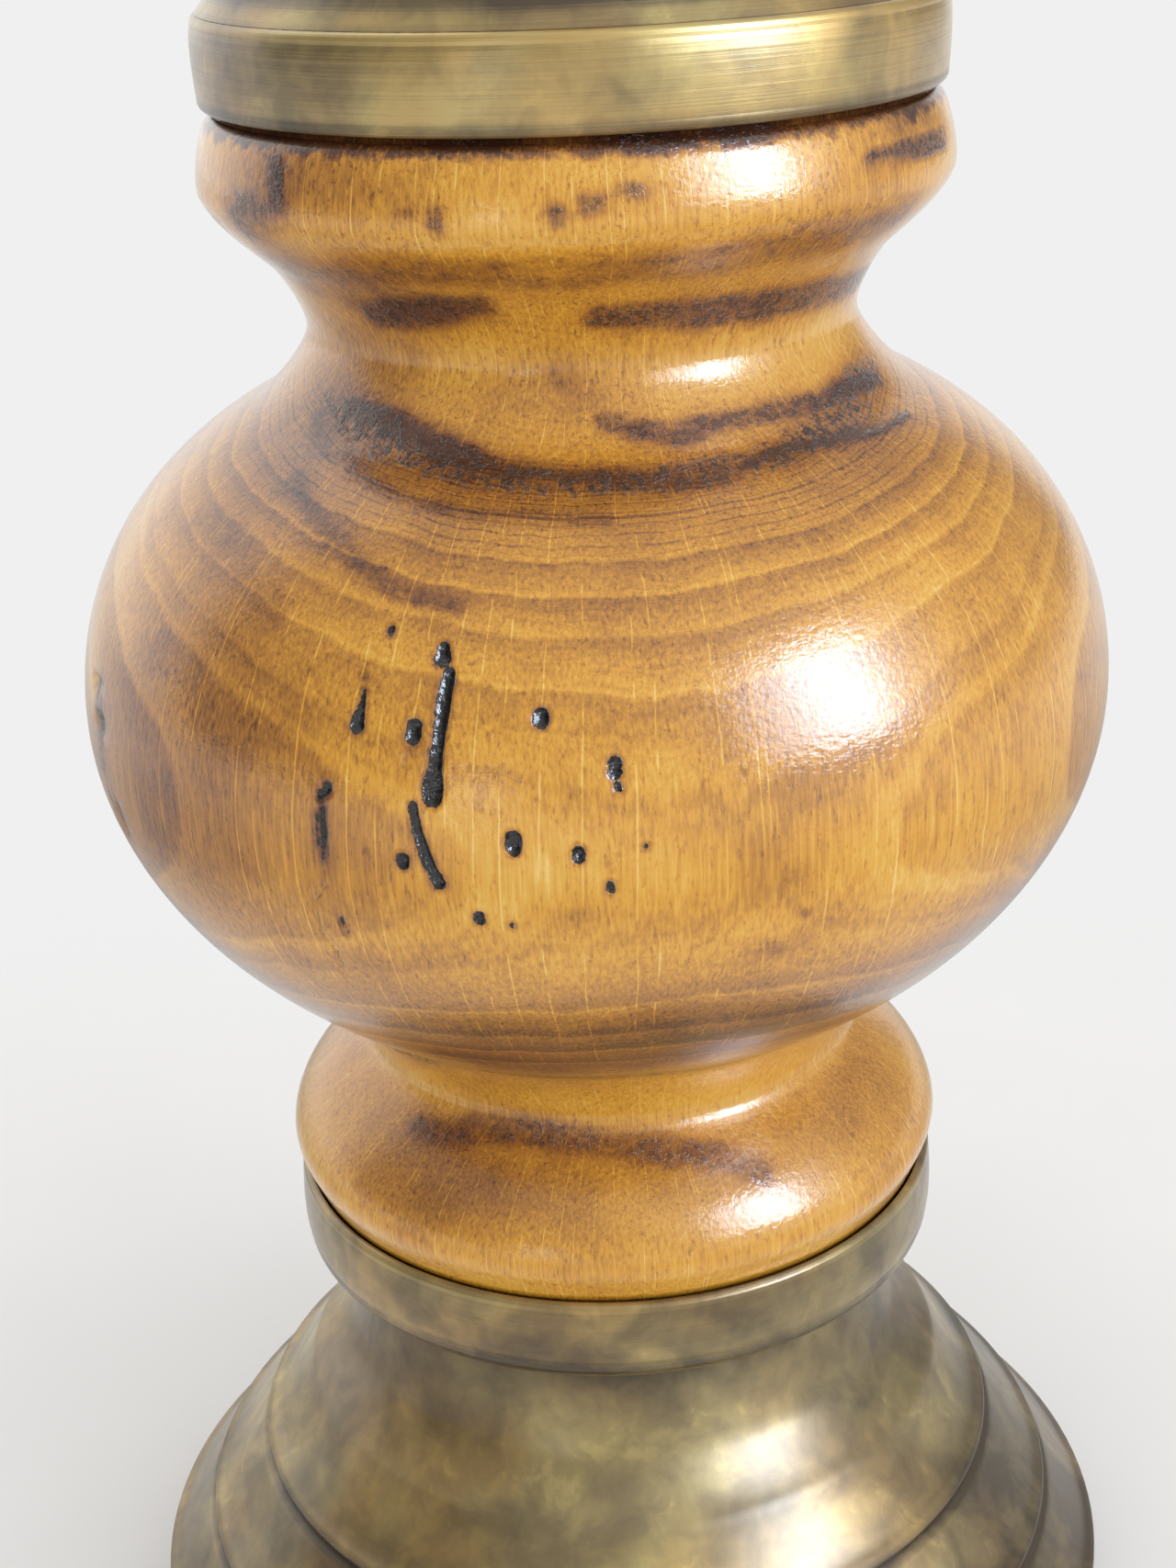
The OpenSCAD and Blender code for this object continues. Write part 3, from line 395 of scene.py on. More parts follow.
# The mesh is finest over the worm holes, and finer in front than behind: heights and steps up in mm,
# angles and steps round in degrees.
hole_band, hole_arc, front_arc = (142, 190), (-32.4, 4.3), (-60, 60)
fine_row, plain_row = 0.42, 1.25
fine_turn, front_turn, plain_turn = 0.36, 1.0, 2.0
hole_deep, crack_deep, hole_lip = 0.85, 0.30, 0.05


def stretch(p, u, q, v, n=40):
    """Points of a smooth stretch from p to q that leaves p along u and reaches q along v."""
    p, u, q, v = (np.array(a, float) for a in (p, u, q, v))
    t = np.linspace(0, 1, n)[:, None]
    return ((2 * t**3 - 3 * t**2 + 1) * p + (t**3 - 2 * t**2 + t) * u
            + (3 * t**2 - 2 * t**3) * q + (t**3 - t**2) * v)


def turned_curve():
    """The turning's outside from its foot to its top edge, as (radius, height) in mm."""
    low_slope = np.array((ball_r * 0.714, wood_h * 0.1965))
    up_slope = np.array((-ball_r * 0.708, wood_h * 0.1644))
    low_bead, low_neck = (low_bead_r, low_bead_z), (low_neck_r, low_neck_z)
    under_neck, over_neck = (low_neck_r + 7, low_neck_z - 6.5), (up_neck_r + 4.8, up_neck_z + 9.4)
    low_join, ball, up_join = (low_join_r, low_join_z), (ball_r, ball_z), (up_join_r, up_join_z)
    up_neck, up_bead = (up_neck_r, up_neck_z), (up_bead_r, up_bead_z)
    return np.concatenate([
        stretch((foot_r, 0), (0.6, 2.6), low_bead, (0, 3.4)),
        stretch(low_bead, (0, 7.5), under_neck, (-12.6, 11.1)),
        stretch(under_neck, (-11.1, 10.1), low_neck, (0, 5.5)),
        stretch(low_neck, (0, 8), low_join, low_slope * 0.17),
        stretch(low_join, low_slope, ball, (0, wood_h * 0.3327), 90),
        stretch(ball, (0, wood_h * 0.3451), up_join, up_slope, 90),
        stretch(up_join, up_slope * 0.143, up_neck, (0, 8)),
        stretch(up_neck, (0, 8), over_neck, (5.2, 4.6)),
        stretch(over_neck, (5.2, 4.6), up_bead, (0, 9)),
        stretch(up_bead, (0, 6), (top_r, wood_h), (-5, 1.2)),
    ])


curve = turned_curve()
along = np.concatenate([[0], np.cumsum(np.linalg.norm(np.diff(curve, axis=0), axis=1))])
stations, at = [], 0.0
while at < along[-1]:
    stations.append(at)
    height = np.interp(at, along, curve[:, 1]) + wood_foot_z
    at += fine_row if hole_band[0] < height < hole_band[1] else plain_row
stations.append(along[-1])
row_r = np.interp(stations, along, curve[:, 0])
row_z = np.interp(stations, along, curve[:, 1]) + wood_foot_z
row_r = np.concatenate([[bore_r, low_tenon_r, low_tenon_r], row_r, [top_tenon_r, top_tenon_r, bore_r]])
wood_top_z = wood_foot_z + wood_h
row_z = np.concatenate([[wood_foot_z - low_tenon, wood_foot_z - low_tenon, wood_foot_z], row_z,
                        [wood_top_z, wood_top_z + high_tenon, wood_top_z + high_tenon]])
turns, angle = [], -180.0
while angle < 180 - 1e-6:
    turns.append(angle)
    if hole_arc[0] <= angle < hole_arc[1]:
        angle += fine_turn
    elif front_arc[0] <= angle < front_arc[1]:
        angle += front_turn
    else:
        angle += plain_turn
turns = np.radians(turns)

grid_r, grid_a = np.meshgrid(row_r, turns, indexing="ij")
grid_z = np.repeat(row_z[:, None], len(turns), 1)
spots = np.stack([grid_r * np.sin(grid_a), -grid_r * np.cos(grid_a), grid_z], 2).reshape(-1, 3)


def on_wood(azimuth, height):
    """The point on the turning at an angle round it, 0 at the front, and a height, in mm."""
    r = np.interp(height - wood_foot_z, curve[:, 1], curve[:, 0])
    return np.array([r * math.sin(math.radians(azimuth)), -r * math.cos(math.radians(azimuth)), height])


# Worm holes and grooves: lists of (azimuth, height, half width) that one bore runs through. The angles and
# heights here and in cracks, and about half of those in the stain lists, were computed from measured points.
# A separate program wrote the angles and heights here and in cracks, and about half of those in the stain
# lists.
worm_holes = [
    [(-22, 186.7, 0.45), (-22, 186.3, 0.45)],
    [(-15.8, 185.3, 0.7), (-15.8, 184.2, 1.05)],
    [(-24.1, 176.7, 0.95), (-24, 177.9, 0.7)],
    [(-23.8, 178.7, 0.45), (-23.7, 180.5, 0.18)],
    [(-18, 177.2, 0.95), (-18.1, 176.1, 1.0)],
    [(-5.5, 178.8, 0.95), (-5.5, 178.3, 0.95)],
    [(-8.3, 165.3, 1.0), (-8.3, 164.1, 0.95)],
    [(-19.1, 161.9, 0.9), (-19.1, 161.4, 0.8)],
    [(-2.3, 163.6, 0.85), (-2.3, 163, 0.8)],
    [(-12, 155.3, 0.65), (-12, 154.6, 0.7)],
    [(-8.9, 154.3, 0.35), (-8.9, 154.1, 0.35)],
    [(1.4, 173.7, 0.75), (1.4, 172.6, 0.85)],
    [(1.6, 171.1, 0.55), (1.6, 170.8, 0.5)],
    [(0.5, 159.5, 0.5), (0.5, 158.9, 0.55)],
    [(-26.9, 169.5, 0.6), (-26.9, 168.9, 0.55)],
    [(-27.6, 168.5, 0.5), (-27.6, 168.1, 0.45)],
    [(3.9, 164.1, 0.3), (3.9, 163.8, 0.25)],
    [(-26.6, 152.6, 0.3), (-26.5, 151.7, 0.25)],
    [(-26.3, 150.8, 0.2), (-26.4, 150.1, 0.15)],
    [(19.7, 152.7, 0.2), (19.7, 152.5, 0.2)],
    [(-14.9, 182.8, 0.75), (-15.2, 180, 0.9), (-15.5, 175.7, 0.75), (-15.8, 172.5, 0.9),
     (-15.9, 170.7, 1.35), (-16, 169.6, 1.2)],
    [(-17.9, 168.6, 0.55), (-17.6, 166, 0.65), (-16.9, 163, 0.75), (-16.2, 160.8, 0.75),
     (-15.6, 159.3, 0.85)],
    [(-27.4, 166.9, 0.25), (-27.3, 163.6, 0.4), (-27.6, 160.4, 0.15)],
    [(-28.1, 166.1, 0.12), (-28.1, 162.2, 0.14)],
    [(-68.1, 170.9, 0.5), (-67.1, 167.8, 1.0), (-65.4, 164, 0.8)],
    [(-64.5, 156.9, 0.5), (-64.4, 153.8, 0.9), (-63.8, 150.7, 0.5)],
]
# Hairline cracks, one under the holes and a short one beside the long groove, on the same plan.
cracks = [[(-27.5, 157.2, 0.10), (-29.3, 154.3, 0.14), (-29.6, 149.7, 0.10), (-28.1, 146.4, 0.12),
           (-28.7, 143.3, 0.08)],
          [(-18.5, 174.4, 0.08), (-18.6, 173.1, 0.06)]]


def clear_of(routes):
    """How far each point of the turning lies from the edge of the nearest bore, in mm, under 0 inside it."""
    nearest = np.full(len(spots), 9.0)  # further off than any mark reaches
    for route in routes:
        ends = [on_wood(a, z) for a, z, _ in route]
        for (p, q), ((_, _, p_w), (_, _, q_w)) in zip(zip(ends, ends[1:]), zip(route, route[1:])):
            run = q - p
            t = np.clip(((spots - p) @ run) / (run @ run), 0, 1)
            gap = np.linalg.norm(spots - p - t[:, None] * run, axis=1) - (p_w + t * (q_w - p_w))
            nearest = np.minimum(nearest, gap)
    return nearest


hole_gap = clear_of(worm_holes)
crack_gap = clear_of(cracks)
# Brown bands where the dark rings come out on the necks and beads, and one soft band of painted shade
# under the upper bead: (strength, softness, route as above).
stain_and_shade_bands = [
    (0.92, 2.0, [(2.6, 217.6, 0.1), (10.6, 217.4, 0.5), (20.7, 217.2, 0.9), (32.1, 216.8, 0.8),
                 (45.8, 216.8, 0.8), (72, 216, 0.5)]),
    (0.92, 2.0, [(-40, 217.2, 0.5), (-36.8, 217.5, 0.8), (-26.3, 218.6, 1.0), (-17.3, 219.6, 0.2)]),
    (0.35, 1.6, [(-90, 221, 1.0), (-60.8, 220.8, 1.0), (-40.2, 218.4, 0.6)]),
    # Painted shade under the upper bead, not a ring:
    (0.52, 2.8, [(-57.8, 222.3, 1), (-46, 222.2, 1), (-26.2, 224.6, 1), (-9.8, 224, 1), (8.8, 224.4, 1),
                 (31.9, 225.3, 1.2), (55.9, 225.6, 1.2)]),
    (0.80, 1.1, [(2.5, 205.3, 0.1), (9.4, 204.0, 0.5), (14.8, 203.3, 0.8), (29, 204.1, 0.7),
                 (42.6, 204.1, 0.6), (66, 203.8, 0.4)]),
    (0.75, 0.9, [(-44, 205.2, 0.4), (-36, 204.8, 0.8), (-27, 203.4, 1.1), (-17.1, 201.6, 0.9)]),
    (0.48, 1.1, [(-17.1, 201.6, 0.7), (-9, 200.5, 0.3), (2, 200.1, 0.3), (12.4, 199.3, 0.6),
                 (19.5, 199.3, 0.5)]),
    (0.80, 0.5, [(24, 200.0, 0.2), (31.9, 200.6, 0.4), (39.2, 200.4, 0.5), (51.1, 200.1, 0.4),
                 (62, 199.8, 0.3)]),
    (0.50, 0.6, [(-54.7, 203.3, 0.6), (-50, 201.6, 0.4), (-45, 200.6, 0.2)]),
    (0.60, 1.8, [(-43.5, 103.3, 0.6), (-38.1, 103.7, 0.9), (-21.7, 105.6, 1.0), (-9.8, 105.2, 1.0),
                 (5.8, 104.4, 1.0), (21.6, 102.1, 0.9), (27.3, 99.9, 0.4)]),
    (0.16, 3.0, [(-30, 100.6, 1.5), (-18.8, 100.8, 1.5), (-7.5, 100.4, 1.0)]),
    (0.28, 3.0, [(-13, 209, 1.0), (0, 208, 1.0)]),
    (0.50, 0.9, [(-47, 198.3, 0.5), (-38.1, 195.6, 0.6), (-30.8, 193.3, 0.6), (-22.7, 190.2, 0.6),
                 (-14.8, 189.2, 0.3)]),
    (0.45, 0.8, [(-42, 201, 0.4), (-35, 199.4, 0.5), (-26.4, 198, 0.5), (-15.2, 197.3, 0.4),
                 (2, 196.7, 0.3)]),
    (0.30, 1.6, [(-59.1, 192, 1.0), (-46.2, 190.4, 1.0), (-37.2, 187.2, 0.8)]),
    (0.90, 0.7, [(-45.9, 231.6, 1.1), (-46.4, 235.6, 0.8)]),
    (0.90, 0.7, [(-70, 226.4, 1.2), (-71, 223.9, 0.9)]),
    (1.00, 0.6, [(43.7, 233.5, 0.2), (49.5, 233.9, 0.5), (57.5, 233.4, 0.6), (67.2, 233.1, 0.8)]),
]
# Smaller brown stains: (azimuth, height, half width, half height, strength).
stain_spots = [(-19, 230.7, 1.4, 1.8, 0.9), (-22.9, 231.6, 1.6, 1.2, 0.6), (-51.4, 230.5, 7.0, 2.4, 0.8),
               (-56.3, 228.5, 6.0, 4.0, 0.7), (-2.9, 231.2, 1.8, 1.5, 0.8), (1.8, 232.2, 2.4, 1.4, 0.9),
               (7, 233.4, 3.0, 1.1, 0.7), (10.2, 238, 7.0, 1.3, 0.9), (-14.4, 238.2, 6.0, 1.0, 0.7),
               (23, 238, 7.0, 1.2, 0.8), (57.6, 236.3, 9.0, 2.0, 0.5), (-2.6, 155.5, 4.4, 1.6, 0.35),
               (16.8, 147.9, 3.4, 1.2, 0.5), (18.1, 157.8, 1.3, 1.4, 0.35), (-27.4, 164.4, 0.9, 6.0, 0.6),
               (-32.2, 176.5, 3.0, 5.0, 0.25), (-23.9, 181.8, 0.5, 2.2, 0.6),
               (-66.4, 163.7, 2.6, 12.0, 0.8)]
# Broad places painted darker, on the same plan: darker on the left, and painted shade round the
# underside of the ball and on its right.
shade_spots = [(-44, 168, 26, 36, 0.34), (-26, 141, 34, 14, 0.26), (-44, 234.5, 18, 4, 0.30),
               (-30, 219, 22, 5, 0.18), (-40, 98, 20, 6, 0.28), (62, 165, 22, 30, 0.10),
               (-58, 197, 18, 16, 0.26), (-50, 209, 14, 8, 0.30), (0, 132, 60, 12, 0.50),
               (60, 132, 40, 12, 0.46), (-60, 132, 40, 12, 0.50), (42.5, 196.8, 12, 7, 0.14),
               (-20, 206, 14, 8, 0.10), (0, 146, 50, 9, 0.12)]


def painted(marks):
    """How strongly round marks cover each point of the turning."""
    cover = np.zeros(len(spots))
    for a, z, wide, tall, strength in marks:
        off = np.linalg.norm((spots - on_wood(a, z))[:, :2], axis=1)
        cover = np.maximum(cover, strength * np.exp(-(off / wide) ** 2 - ((spots[:, 2] - z) / tall) ** 2))
    return cover


# The stain mark carries the painted shade under the upper bead too.
stain_and_shade = painted(stain_spots)
for strength, softness, route in stain_and_shade_bands:
    stain_and_shade = np.maximum(stain_and_shade, strength * np.exp(-(np.maximum(clear_of([route]), 0) / softness) ** 2))
shade = painted(shade_spots)


def ease(value, low, high):
    """Goes smoothly from 0 to 1 as a value goes from low to high."""
    t = np.clip((value - low) / (high - low), 0, 1)
    return t * t * (3 - 2 * t)


sunk = (hole_deep * ease(-hole_gap, -0.30, 0.75) + crack_deep * ease(-crack_gap, -0.25, 0.1)
        - hole_lip * ease(-hole_gap, -0.9, -0.45))
flat = np.hypot(spots[:, 0], spots[:, 1])
spots[:, 0] -= spots[:, 0] / flat * sunk
spots[:, 1] -= spots[:, 1] / flat * sunk

n_rows, n_turns = len(row_r), len(turns)
corner = np.arange(n_rows * n_turns).reshape(n_rows, n_turns)
nxt = np.roll(corner, -1, axis=1)
over = np.roll(corner, -1, axis=0)
over_nxt = np.roll(nxt, -1, axis=0)
quads = np.stack([corner, nxt, over_nxt, over], 2).reshape(-1, 4)
wood_mesh = bpy.data.meshes.new("turned_wood")
wood_mesh.from_pydata((spots / 1000).tolist(), [], quads.tolist())
for name, values in (("gap", hole_gap), ("crack", crack_gap), ("stain_and_shade", stain_and_shade), ("shade", shade)):
    wood_mesh.attributes.new(name, "FLOAT", "POINT").data.foreach_set("value", values.astype(np.float32))
wood_mesh.shade_smooth()
wood = bpy.data.objects.new("turned_wood", wood_mesh)
scene.collection.objects.link(wood)

# The grain is cut from a block: rings round the heart, rays out from it, and pores drawn out upwards.
amber = Finish("amber_lacquered_wood")
mm = amber.mm
swing = amber.cloud(mm, 34, 1.0, out="Color", stretch=(1, 1, 2.5))
swing = amber.vector("MULTIPLY_ADD", swing, (3.4, 3.4, 0), (-1.7, -1.7, 0))
ripple = amber.cloud(mm, 6, 2.0, out="Color", stretch=(1, 1, 3))
ripple = amber.vector("MULTIPLY_ADD", ripple, (1.1, 1.1, 0), (-0.55, -0.55, 0))
grown = amber.vector("ADD", amber.vector("ADD", mm, swing), ripple)
from_heart = amber.vector("SUBTRACT", grown, (heart[0], heart[1], 0))
out_from = amber.vector("LENGTH", amber.vector("MULTIPLY", from_heart, (1, 1, 0)))
height = amber.step("ShaderNodeSeparateXYZ", mm).outputs["Z"]
# Towards both ends the block tapers, so the same ring comes out further from the heart.
out_from = amber.sum("ADD", out_from, amber.fade(height, 217, 229, 0.0, -7.0))
out_from = amber.sum("ADD", out_from, amber.fade(height, 94, 103, -7.0, 0.0))
ring_reach = 90
ring_scale = amber.sum("DIVIDE", out_from, ring_reach)


def by_ring(stops):
    """Reads a tone off a list of (distance from the heart in mm, tone)."""
    return amber.ramp(ring_scale, [(far / ring_reach, tone) for far, tone in stops])


# The wide rings are dark where the wood grew slowly, and thin pale lines edge them. Most of the distances
# in thin_rings were computed from measured points. A separate program wrote most of the distances in
# thin_rings.
wide_rings = [(0, 0.60), (24.9, 0.76), (28.0, 0.74), (30.8, 0.72), (32.2, 0.54), (33.2, 0.44),
              (35.2, 0.46), (37.4, 0.60), (40.5, 0.67), (43.5, 0.71), (43.8, 0.52), (45.2, 0.66),
              (46.8, 0.77), (47.1, 0.55), (48.3, 0.70), (49.8, 0.79), (50.1, 0.59), (51.4, 0.74),
              (53.4, 0.81), (53.7, 0.66), (57.2, 0.80), (57.5, 0.68), (59.3, 0.81), (59.6, 0.68),
              (63.5, 0.82), (63.9, 0.65), (68.4, 0.81), (68.8, 0.61), (73.4, 0.79), (73.8, 0.56),
              (78.8, 0.77), (79.2, 0.54)]
thin_rings = [(0, 0.5), (43.15, 0.5), (43.53, 0.95), (44.02, 0.5), (46.48, 0.5), (46.85, 1.0),
              (47.32, 0.5), (49.52, 0.5), (49.88, 1.0), (50.34, 0.5), (53, 0.5), (53.4, 0.85),
              (53.8, 0.5), (57.09, 0.42), (58.87, 0.5), (59.27, 0.8), (59.76, 0.5), (63.15, 0.5),
              (63.55, 0.9), (64.04, 0.5), (67.84, 0.5), (68.34, 0.9), (68.84, 0.5), (90, 0.5)]
bands = by_ring(wide_rings)
# On the necks and beads the rings fade into one plain tone.
plain_tone = 0.78
high_end = amber.fade(height, 204, 210, 0.0, 0.85)
low_end = amber.fade(height, 108, 114, 0.85, 0.0)
ends = amber.sum("ADD", high_end, low_end, clamp=True)
to_plain = amber.sum("SUBTRACT", plain_tone, bands)
bands = amber.sum("ADD", bands, amber.sum("MULTIPLY", ends, to_plain))
edges = by_ring(thin_rings)
# Close dark lines between the dark ring and the first pale one, of no even width.
close = amber.step("ShaderNodeTexNoise", noise_dimensions="1D")
close_place = amber.sum("MULTIPLY_ADD", amber.cloud(mm, 9, 1), 1.2, amber.sum("MULTIPLY", out_from, 2.5))
amber.set(close.inputs["W"], close_place)
for key, value in (("Scale", 1.0), ("Detail", 1.5), ("Roughness", 0.7)):
    close.inputs[key].default_value = value
close = amber.fade(close.outputs["Fac"], 0.50, 0.60)
close_where = by_ring([(0, 0.15), (30, 0.15), (35.5, 0.7), (37.5, 1.0), (42.4, 0.9), (43.6, 0.30), (52, 0.2),
                       (60, 0.12), (90, 0.2)])
dashes = amber.fade(amber.cloud(mm, 4, 3, 0.65), 0.36, 0.56, 0.35, 1.0)
ringed = amber.sum("SUBTRACT", 1.0, ends)
close_where = amber.sum("MULTIPLY", close_where, ringed)
close = amber.sum("MULTIPLY", amber.sum("MULTIPLY", close, dashes), close_where)
tone = amber.sum("MULTIPLY_ADD", close, -0.24, bands)
tone = amber.sum("MULTIPLY_ADD", amber.sum("SUBTRACT", edges, 0.5), 0.30, tone)
# Dark rings break up into grit. Their mask is how dark the ring is.
darkness = amber.fade(bands, 0.61, 0.43)
grit = amber.fade(amber.cloud(mm, 0.75, 3, 0.7, (1, 1, 1.3)), 0.48, 0.55)
clumps = amber.fade(amber.cloud(mm, 1.5, 4, 0.65, (1, 1, 1.4)), 0.42, 0.58)
gritty = amber.sum("MULTIPLY", amber.sum("MULTIPLY_ADD", grit, 0.6, 0.4), clumps)
thick_here = amber.fade(amber.cloud(mm, 11, 2, 0.5), 0.40, 0.60, 0.4, 1.0)
ring_grit = amber.sum("MULTIPLY", gritty, darkness)
tone = amber.sum("MULTIPLY_ADD", amber.sum("MULTIPLY", ring_grit, thick_here), -0.34, tone)
# Freckles, thickest towards the top.
freckles = amber.fade(amber.cloud(mm, 0.55, 3, 0.65, (1, 1, 1.4)), 0.56, 0.64)
freckle_patches = amber.fade(amber.cloud(mm, 12, 2), 0.40, 0.60, 0.2, 1.0)
freckled = amber.sum("MULTIPLY", amber.fade(height, 180, 200, 0.35, 1.0), freckle_patches)
tone = amber.sum("MULTIPLY_ADD", amber.sum("MULTIPLY", freckles, freckled), -0.19, tone)
# Darker along the top edge under the upper cup: stain gathered in the joint, and painted shade under
# the cup's lip.
ragged = amber.sum("MULTIPLY_ADD", amber.cloud(mm, 3.4, 4, 0.62), 5.0, height)
tone = amber.sum("ADD", tone, amber.fade(ragged, 238.9, 240.3, 0.0, -0.50))
fibres = amber.fade(amber.cloud(mm, 0.42, 3, 0.6, (1, 1, 26)), 0.3, 0.7, -0.5, 0.5, False)
pores = amber.fade(amber.cloud(mm, 0.55, 2, 0.6, (1, 1, 4)), 0.58, 0.68)
soak = amber.fade(amber.cloud(mm, 26, 3, 0.55, (1, 1, 1.4)), 0.3, 0.7, -0.5, 0.5, False)
blotch = amber.fade(amber.cloud(mm, 6, 3, 0.6), 0.3, 0.7, -0.5, 0.5, False)
tone = amber.sum("MULTIPLY_ADD", fibres, 0.25, tone)
tone = amber.sum("MULTIPLY_ADD", pores, -0.15, tone)
tone = amber.sum("MULTIPLY_ADD", soak, 0.24, tone)
tone = amber.sum("MULTIPLY_ADD", blotch, 0.10, tone)
# End grain drinks more stain than the sides do.
outside = amber.step("ShaderNodeNewGeometry").outputs["Normal"]
facing = amber.sum("ABSOLUTE", amber.step("ShaderNodeSeparateXYZ", outside).outputs["Z"])
tone = amber.sum("ADD", tone, amber.fade(facing, 0.55, 0.95, 0.0, -0.10))
# Darker in the broad places: on the left, and as painted shade under the ball and on its right.
tone = amber.sum("SUBTRACT", tone, amber.mark("shade"))
# Brown stains, and the painted shade under the upper bead that is marked with them: a soft halo, a torn
# edge inside it, and black crumbs in the darkest places.
stained_and_shaded = amber.mark("stain_and_shade")
torn = amber.sum("SUBTRACT", amber.cloud(mm, 2.4, 4, 0.66, (1.6, 1.6, 1)), 0.55)
soiled_and_shaded = amber.fade(amber.sum("ADD", stained_and_shaded, torn), 0.0, 1.0)
soiled_and_shaded = amber.sum("MULTIPLY", soiled_and_shaded, amber.fade(stained_and_shaded, 0.0, 0.30))
halo = amber.sum("POWER", stained_and_shaded, 0.5)
tone = amber.sum("MULTIPLY_ADD", halo, -0.18, tone)
tone = amber.sum("MULTIPLY_ADD", soiled_and_shaded, -0.32, tone)
ringed_dark = amber.sum("MULTIPLY", amber.fade(bands, 0.57, 0.47), clumps)
fine_grit = amber.fade(amber.cloud(mm, 1.0, 3, 0.7), 0.48, 0.54)
soiled_and_shaded_dark = amber.fade(soiled_and_shaded, 0.30, 0.85, 0.0, 0.75)
crumbs = amber.sum("MULTIPLY", fine_grit, amber.sum("MAXIMUM", soiled_and_shaded_dark, ringed_dark))
# The filler in the worm holes has a ragged edge, and the wood round it is darker.
edge_ragged = amber.fade(amber.cloud(mm, 0.8, 3), 0.3, 0.7, -0.12, 0.12, False)
gap = amber.sum("ADD", amber.mark("gap"), edge_ragged)
tone = amber.sum("ADD", tone, amber.fade(gap, 0.0, 0.8, -0.22, 0.0))
# Rays: thin pale lines out from the heart, cut short along the grain.
east, north = (amber.step("ShaderNodeSeparateXYZ", from_heart).outputs[k] for k in ("X", "Y"))
round_heart = amber.sum("MULTIPLY", amber.sum("ARCTAN2", east, amber.sum("MULTIPLY", north, -1.0)), 13.0)
ray_cells = amber.step("ShaderNodeTexVoronoi", voronoi_dimensions="1D", feature="F1")
amber.set(ray_cells.inputs["W"], round_heart)
ray_cells.inputs["Scale"].default_value = 1.0
ray = amber.fade(ray_cells.outputs["Distance"], 0.010, 0.036, 1.0, 0.0)
ray_kept = amber.fade(amber.cloud(mm, 2.6, 2, 0.5, (1, 1, 7)), 0.42, 0.56)
ray = amber.sum("MULTIPLY", ray, ray_kept)
tone = amber.sum("MULTIPLY_ADD", ray, 0.24, tone, clamp=True)
colour = amber.ramp(tone, [(0.0, (0.045, 0.014, 0.005)), (0.18, (0.155, 0.050, 0.011)),
                           (0.36, (0.310, 0.118, 0.016)), (0.55, (0.490, 0.208, 0.020)),
                           (0.72, (0.690, 0.325, 0.026)), (0.86, (0.750, 0.415, 0.052)),
                           (1.0, (0.840, 0.560, 0.160))])
# Brown where stained, and where shade is painted under the upper bead.
colour = amber.mix(amber.sum("MULTIPLY", soiled_and_shaded, 0.34), colour, (0.170, 0.046, 0.010))
colour = amber.mix(amber.sum("MULTIPLY", crumbs, 0.84), colour, (0.026, 0.011, 0.006))
filled = amber.fade(gap, -0.07, 0.05, 1.0, 0.0)
crack = amber.fade(amber.mark("crack"), -0.08, 0.05, 0.85, 0.0)
colour = amber.mix(crack, colour, (0.045, 0.018, 0.008))
colour = amber.mix(filled, colour, (0.006, 0.005, 0.0045))
# The lacquer keeps a fine orange peel, and lies over the grit, the crumbs and the lumpy filler.
lacquer_relief = 0.030
peel = amber.cloud(mm, 0.9, 3, 0.55, (1.3, 1.3, 0.8))
lumps = amber.cloud(mm, 0.9, 3)
skin = amber.sum("MULTIPLY_ADD", fibres, 0.35, amber.sum("MULTIPLY", peel, 2.2))
raised = amber.sum("MULTIPLY_ADD", crumbs, 3.2, ring_grit)
raised = amber.sum("MULTIPLY_ADD", lumps, amber.sum("MULTIPLY", filled, 10.0), raised)
skin = amber.sum("ADD", skin, raised)
surface = amber.relief(skin, lacquer_relief)
amber.give(Base_Color=colour, Roughness=amber.fade(filled, 0.0, 1.0, 0.42, 0.16), Normal=surface,
           Specular_IOR_Level=0.35, Coat_Weight=1.0, Coat_Roughness=0.12, Coat_IOR=1.58, Coat_Normal=surface)
wood_mesh.materials.append(amber.made)
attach(wood, "lamp")
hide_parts("turned_wood_body")


# ---- Shoulder, knop, column and crown ----
# Four brass pieces that slide over the rod above the wood: the shoulder is spun like the base, and the
# others are turned. All are antiqued as the base is.
dress(antique_brass("shoulder_brass", patina, olive, rubbed,
                    heights=[(254.2, 2.4, -0.35), (251.6, 1.6, 0.20), (257.0, 1.6, 0.25), (289.4, 1.6, 0.3)],
                    patch=14, lines=0.35), "shoulder_bell")
dress(antique_brass("stem_brass", patina, olive, rubbed,
                    heights=[(300.0, 3.2, 0.30), (292.6, 1.6, -0.35), (306.5, 2.4, -0.25),
                             (311.0, 1.2, -0.35), (308.9, 1.0, 0.25), (367.4, 2.0, 0.30),
                             (365.0, 1.6, -0.30), (370.6, 1.4, -0.30), (378.4, 1.2, 0.25)],
                    patch=14, lines=0.4), "knop", "column", "crown_cap")


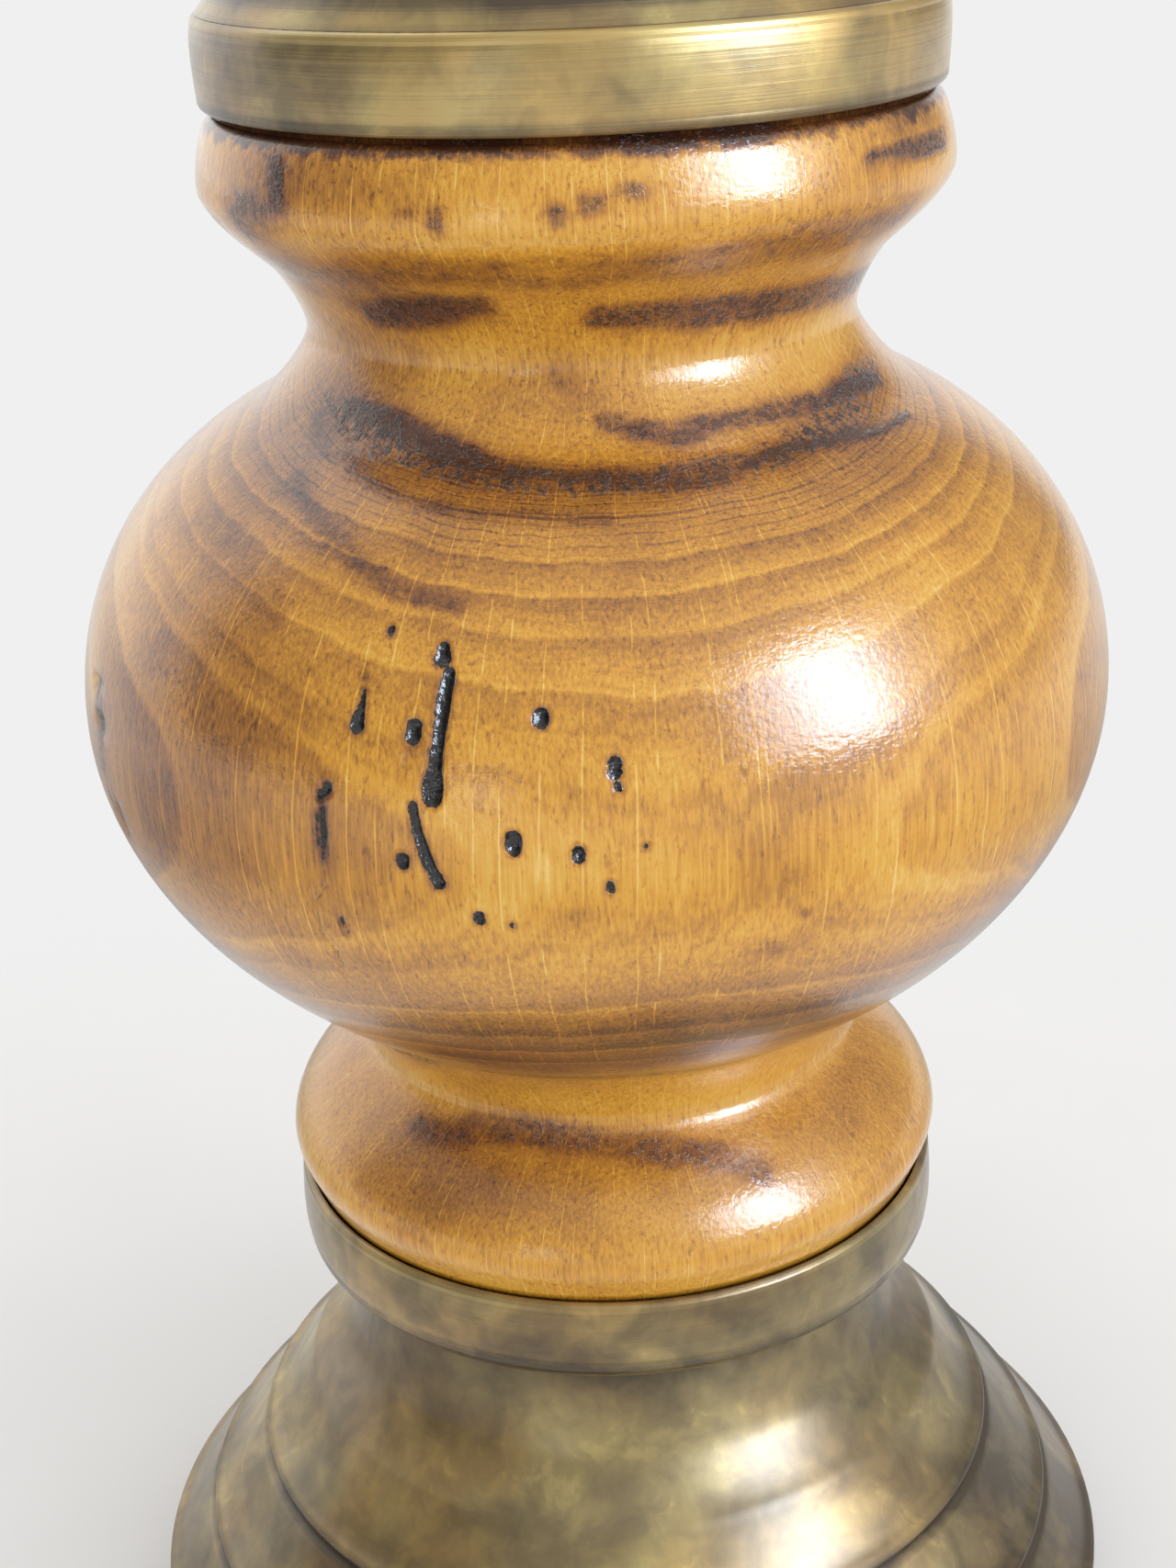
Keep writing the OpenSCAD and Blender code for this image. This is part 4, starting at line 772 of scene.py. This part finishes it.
# ---- Harp, saddle and nut ----
# The nut clamps the saddle. The harp's wires, with a pressed hub and stud on top, stand in the saddle's
# prongs, and two sleeves drop over the joints to lock them.
plated = antique_brass("harp_brass", (0.16, 0.115, 0.055), (0.42, 0.325, 0.155), (0.66, 0.52, 0.25),
                       patch=22, wear=0.7, lines=0.1, shine=0.28)
dress(plated, "stack_nut", "harp_saddle", "harp_wire_left", "harp_wire_right", "harp_hub", "harp_stud",
      "harp_sleeve_left", "harp_sleeve_right")


# ---- Socket ----
# A turn-switch socket: a brass-plated cap and shell over a paper liner, a moulded body with its two
# terminal screws, and the rolled screw shell that takes the bulb.
socket_plate = antique_brass("socket_brass", (0.22, 0.16, 0.07), (0.52, 0.40, 0.19), (0.72, 0.58, 0.30),
                             heights=[(410.8, 1.4, -0.3), (393.8, 1.6, -0.3)],
                             patch=26, wear=0.5, lines=0.2, shine=0.24)
dress(socket_plate, "socket_cap", "socket_shell", "switch_shaft", "terminal_screws", "centre_contact",
      "screw_shell")

card = Finish("liner_card")
pulp = card.cloud(card.mm, 0.6, 4, 0.7, (1, 1, 2))
card.give(Base_Color=card.ramp(pulp, [(0.3, (0.17, 0.11, 0.065)), (0.7, (0.29, 0.20, 0.12))]),
          Roughness=0.85, Normal=card.relief(pulp, 0.06))
dress(card.made, "socket_liner")

moulding = Finish("brown_moulding")
swirl = moulding.cloud(moulding.mm, 5, 4, 0.6)
moulding.give(Base_Color=moulding.ramp(swirl, [(0.3, (0.016, 0.009, 0.006)), (0.7, (0.050, 0.028, 0.018))]),
              Roughness=moulding.fade(swirl, 0.3, 0.7, 0.24, 0.34), Normal=moulding.relief(swirl, 0.01))
dress(moulding.made, "socket_body")


# ---- Switch knob ----
# A ribbed knob pushed on the socket's shaft and turned to switch the lamp on and off. It is moulded in
# the same dark brown as the socket's body.
dress(moulding.made, "switch_knob")


# ---- Finial ----
# A ball and its neck, turned from one brass bar and tapped underneath. It screws on the harp's stud and
# holds a shade down.
dress(antique_brass("finial_brass", patina, olive, rubbed,
                    heights=[(606.8, 1.6, -0.3), (624.1, 6.0, 0.2)], patch=9, lines=0.3, shine=0.30),
      "finial")
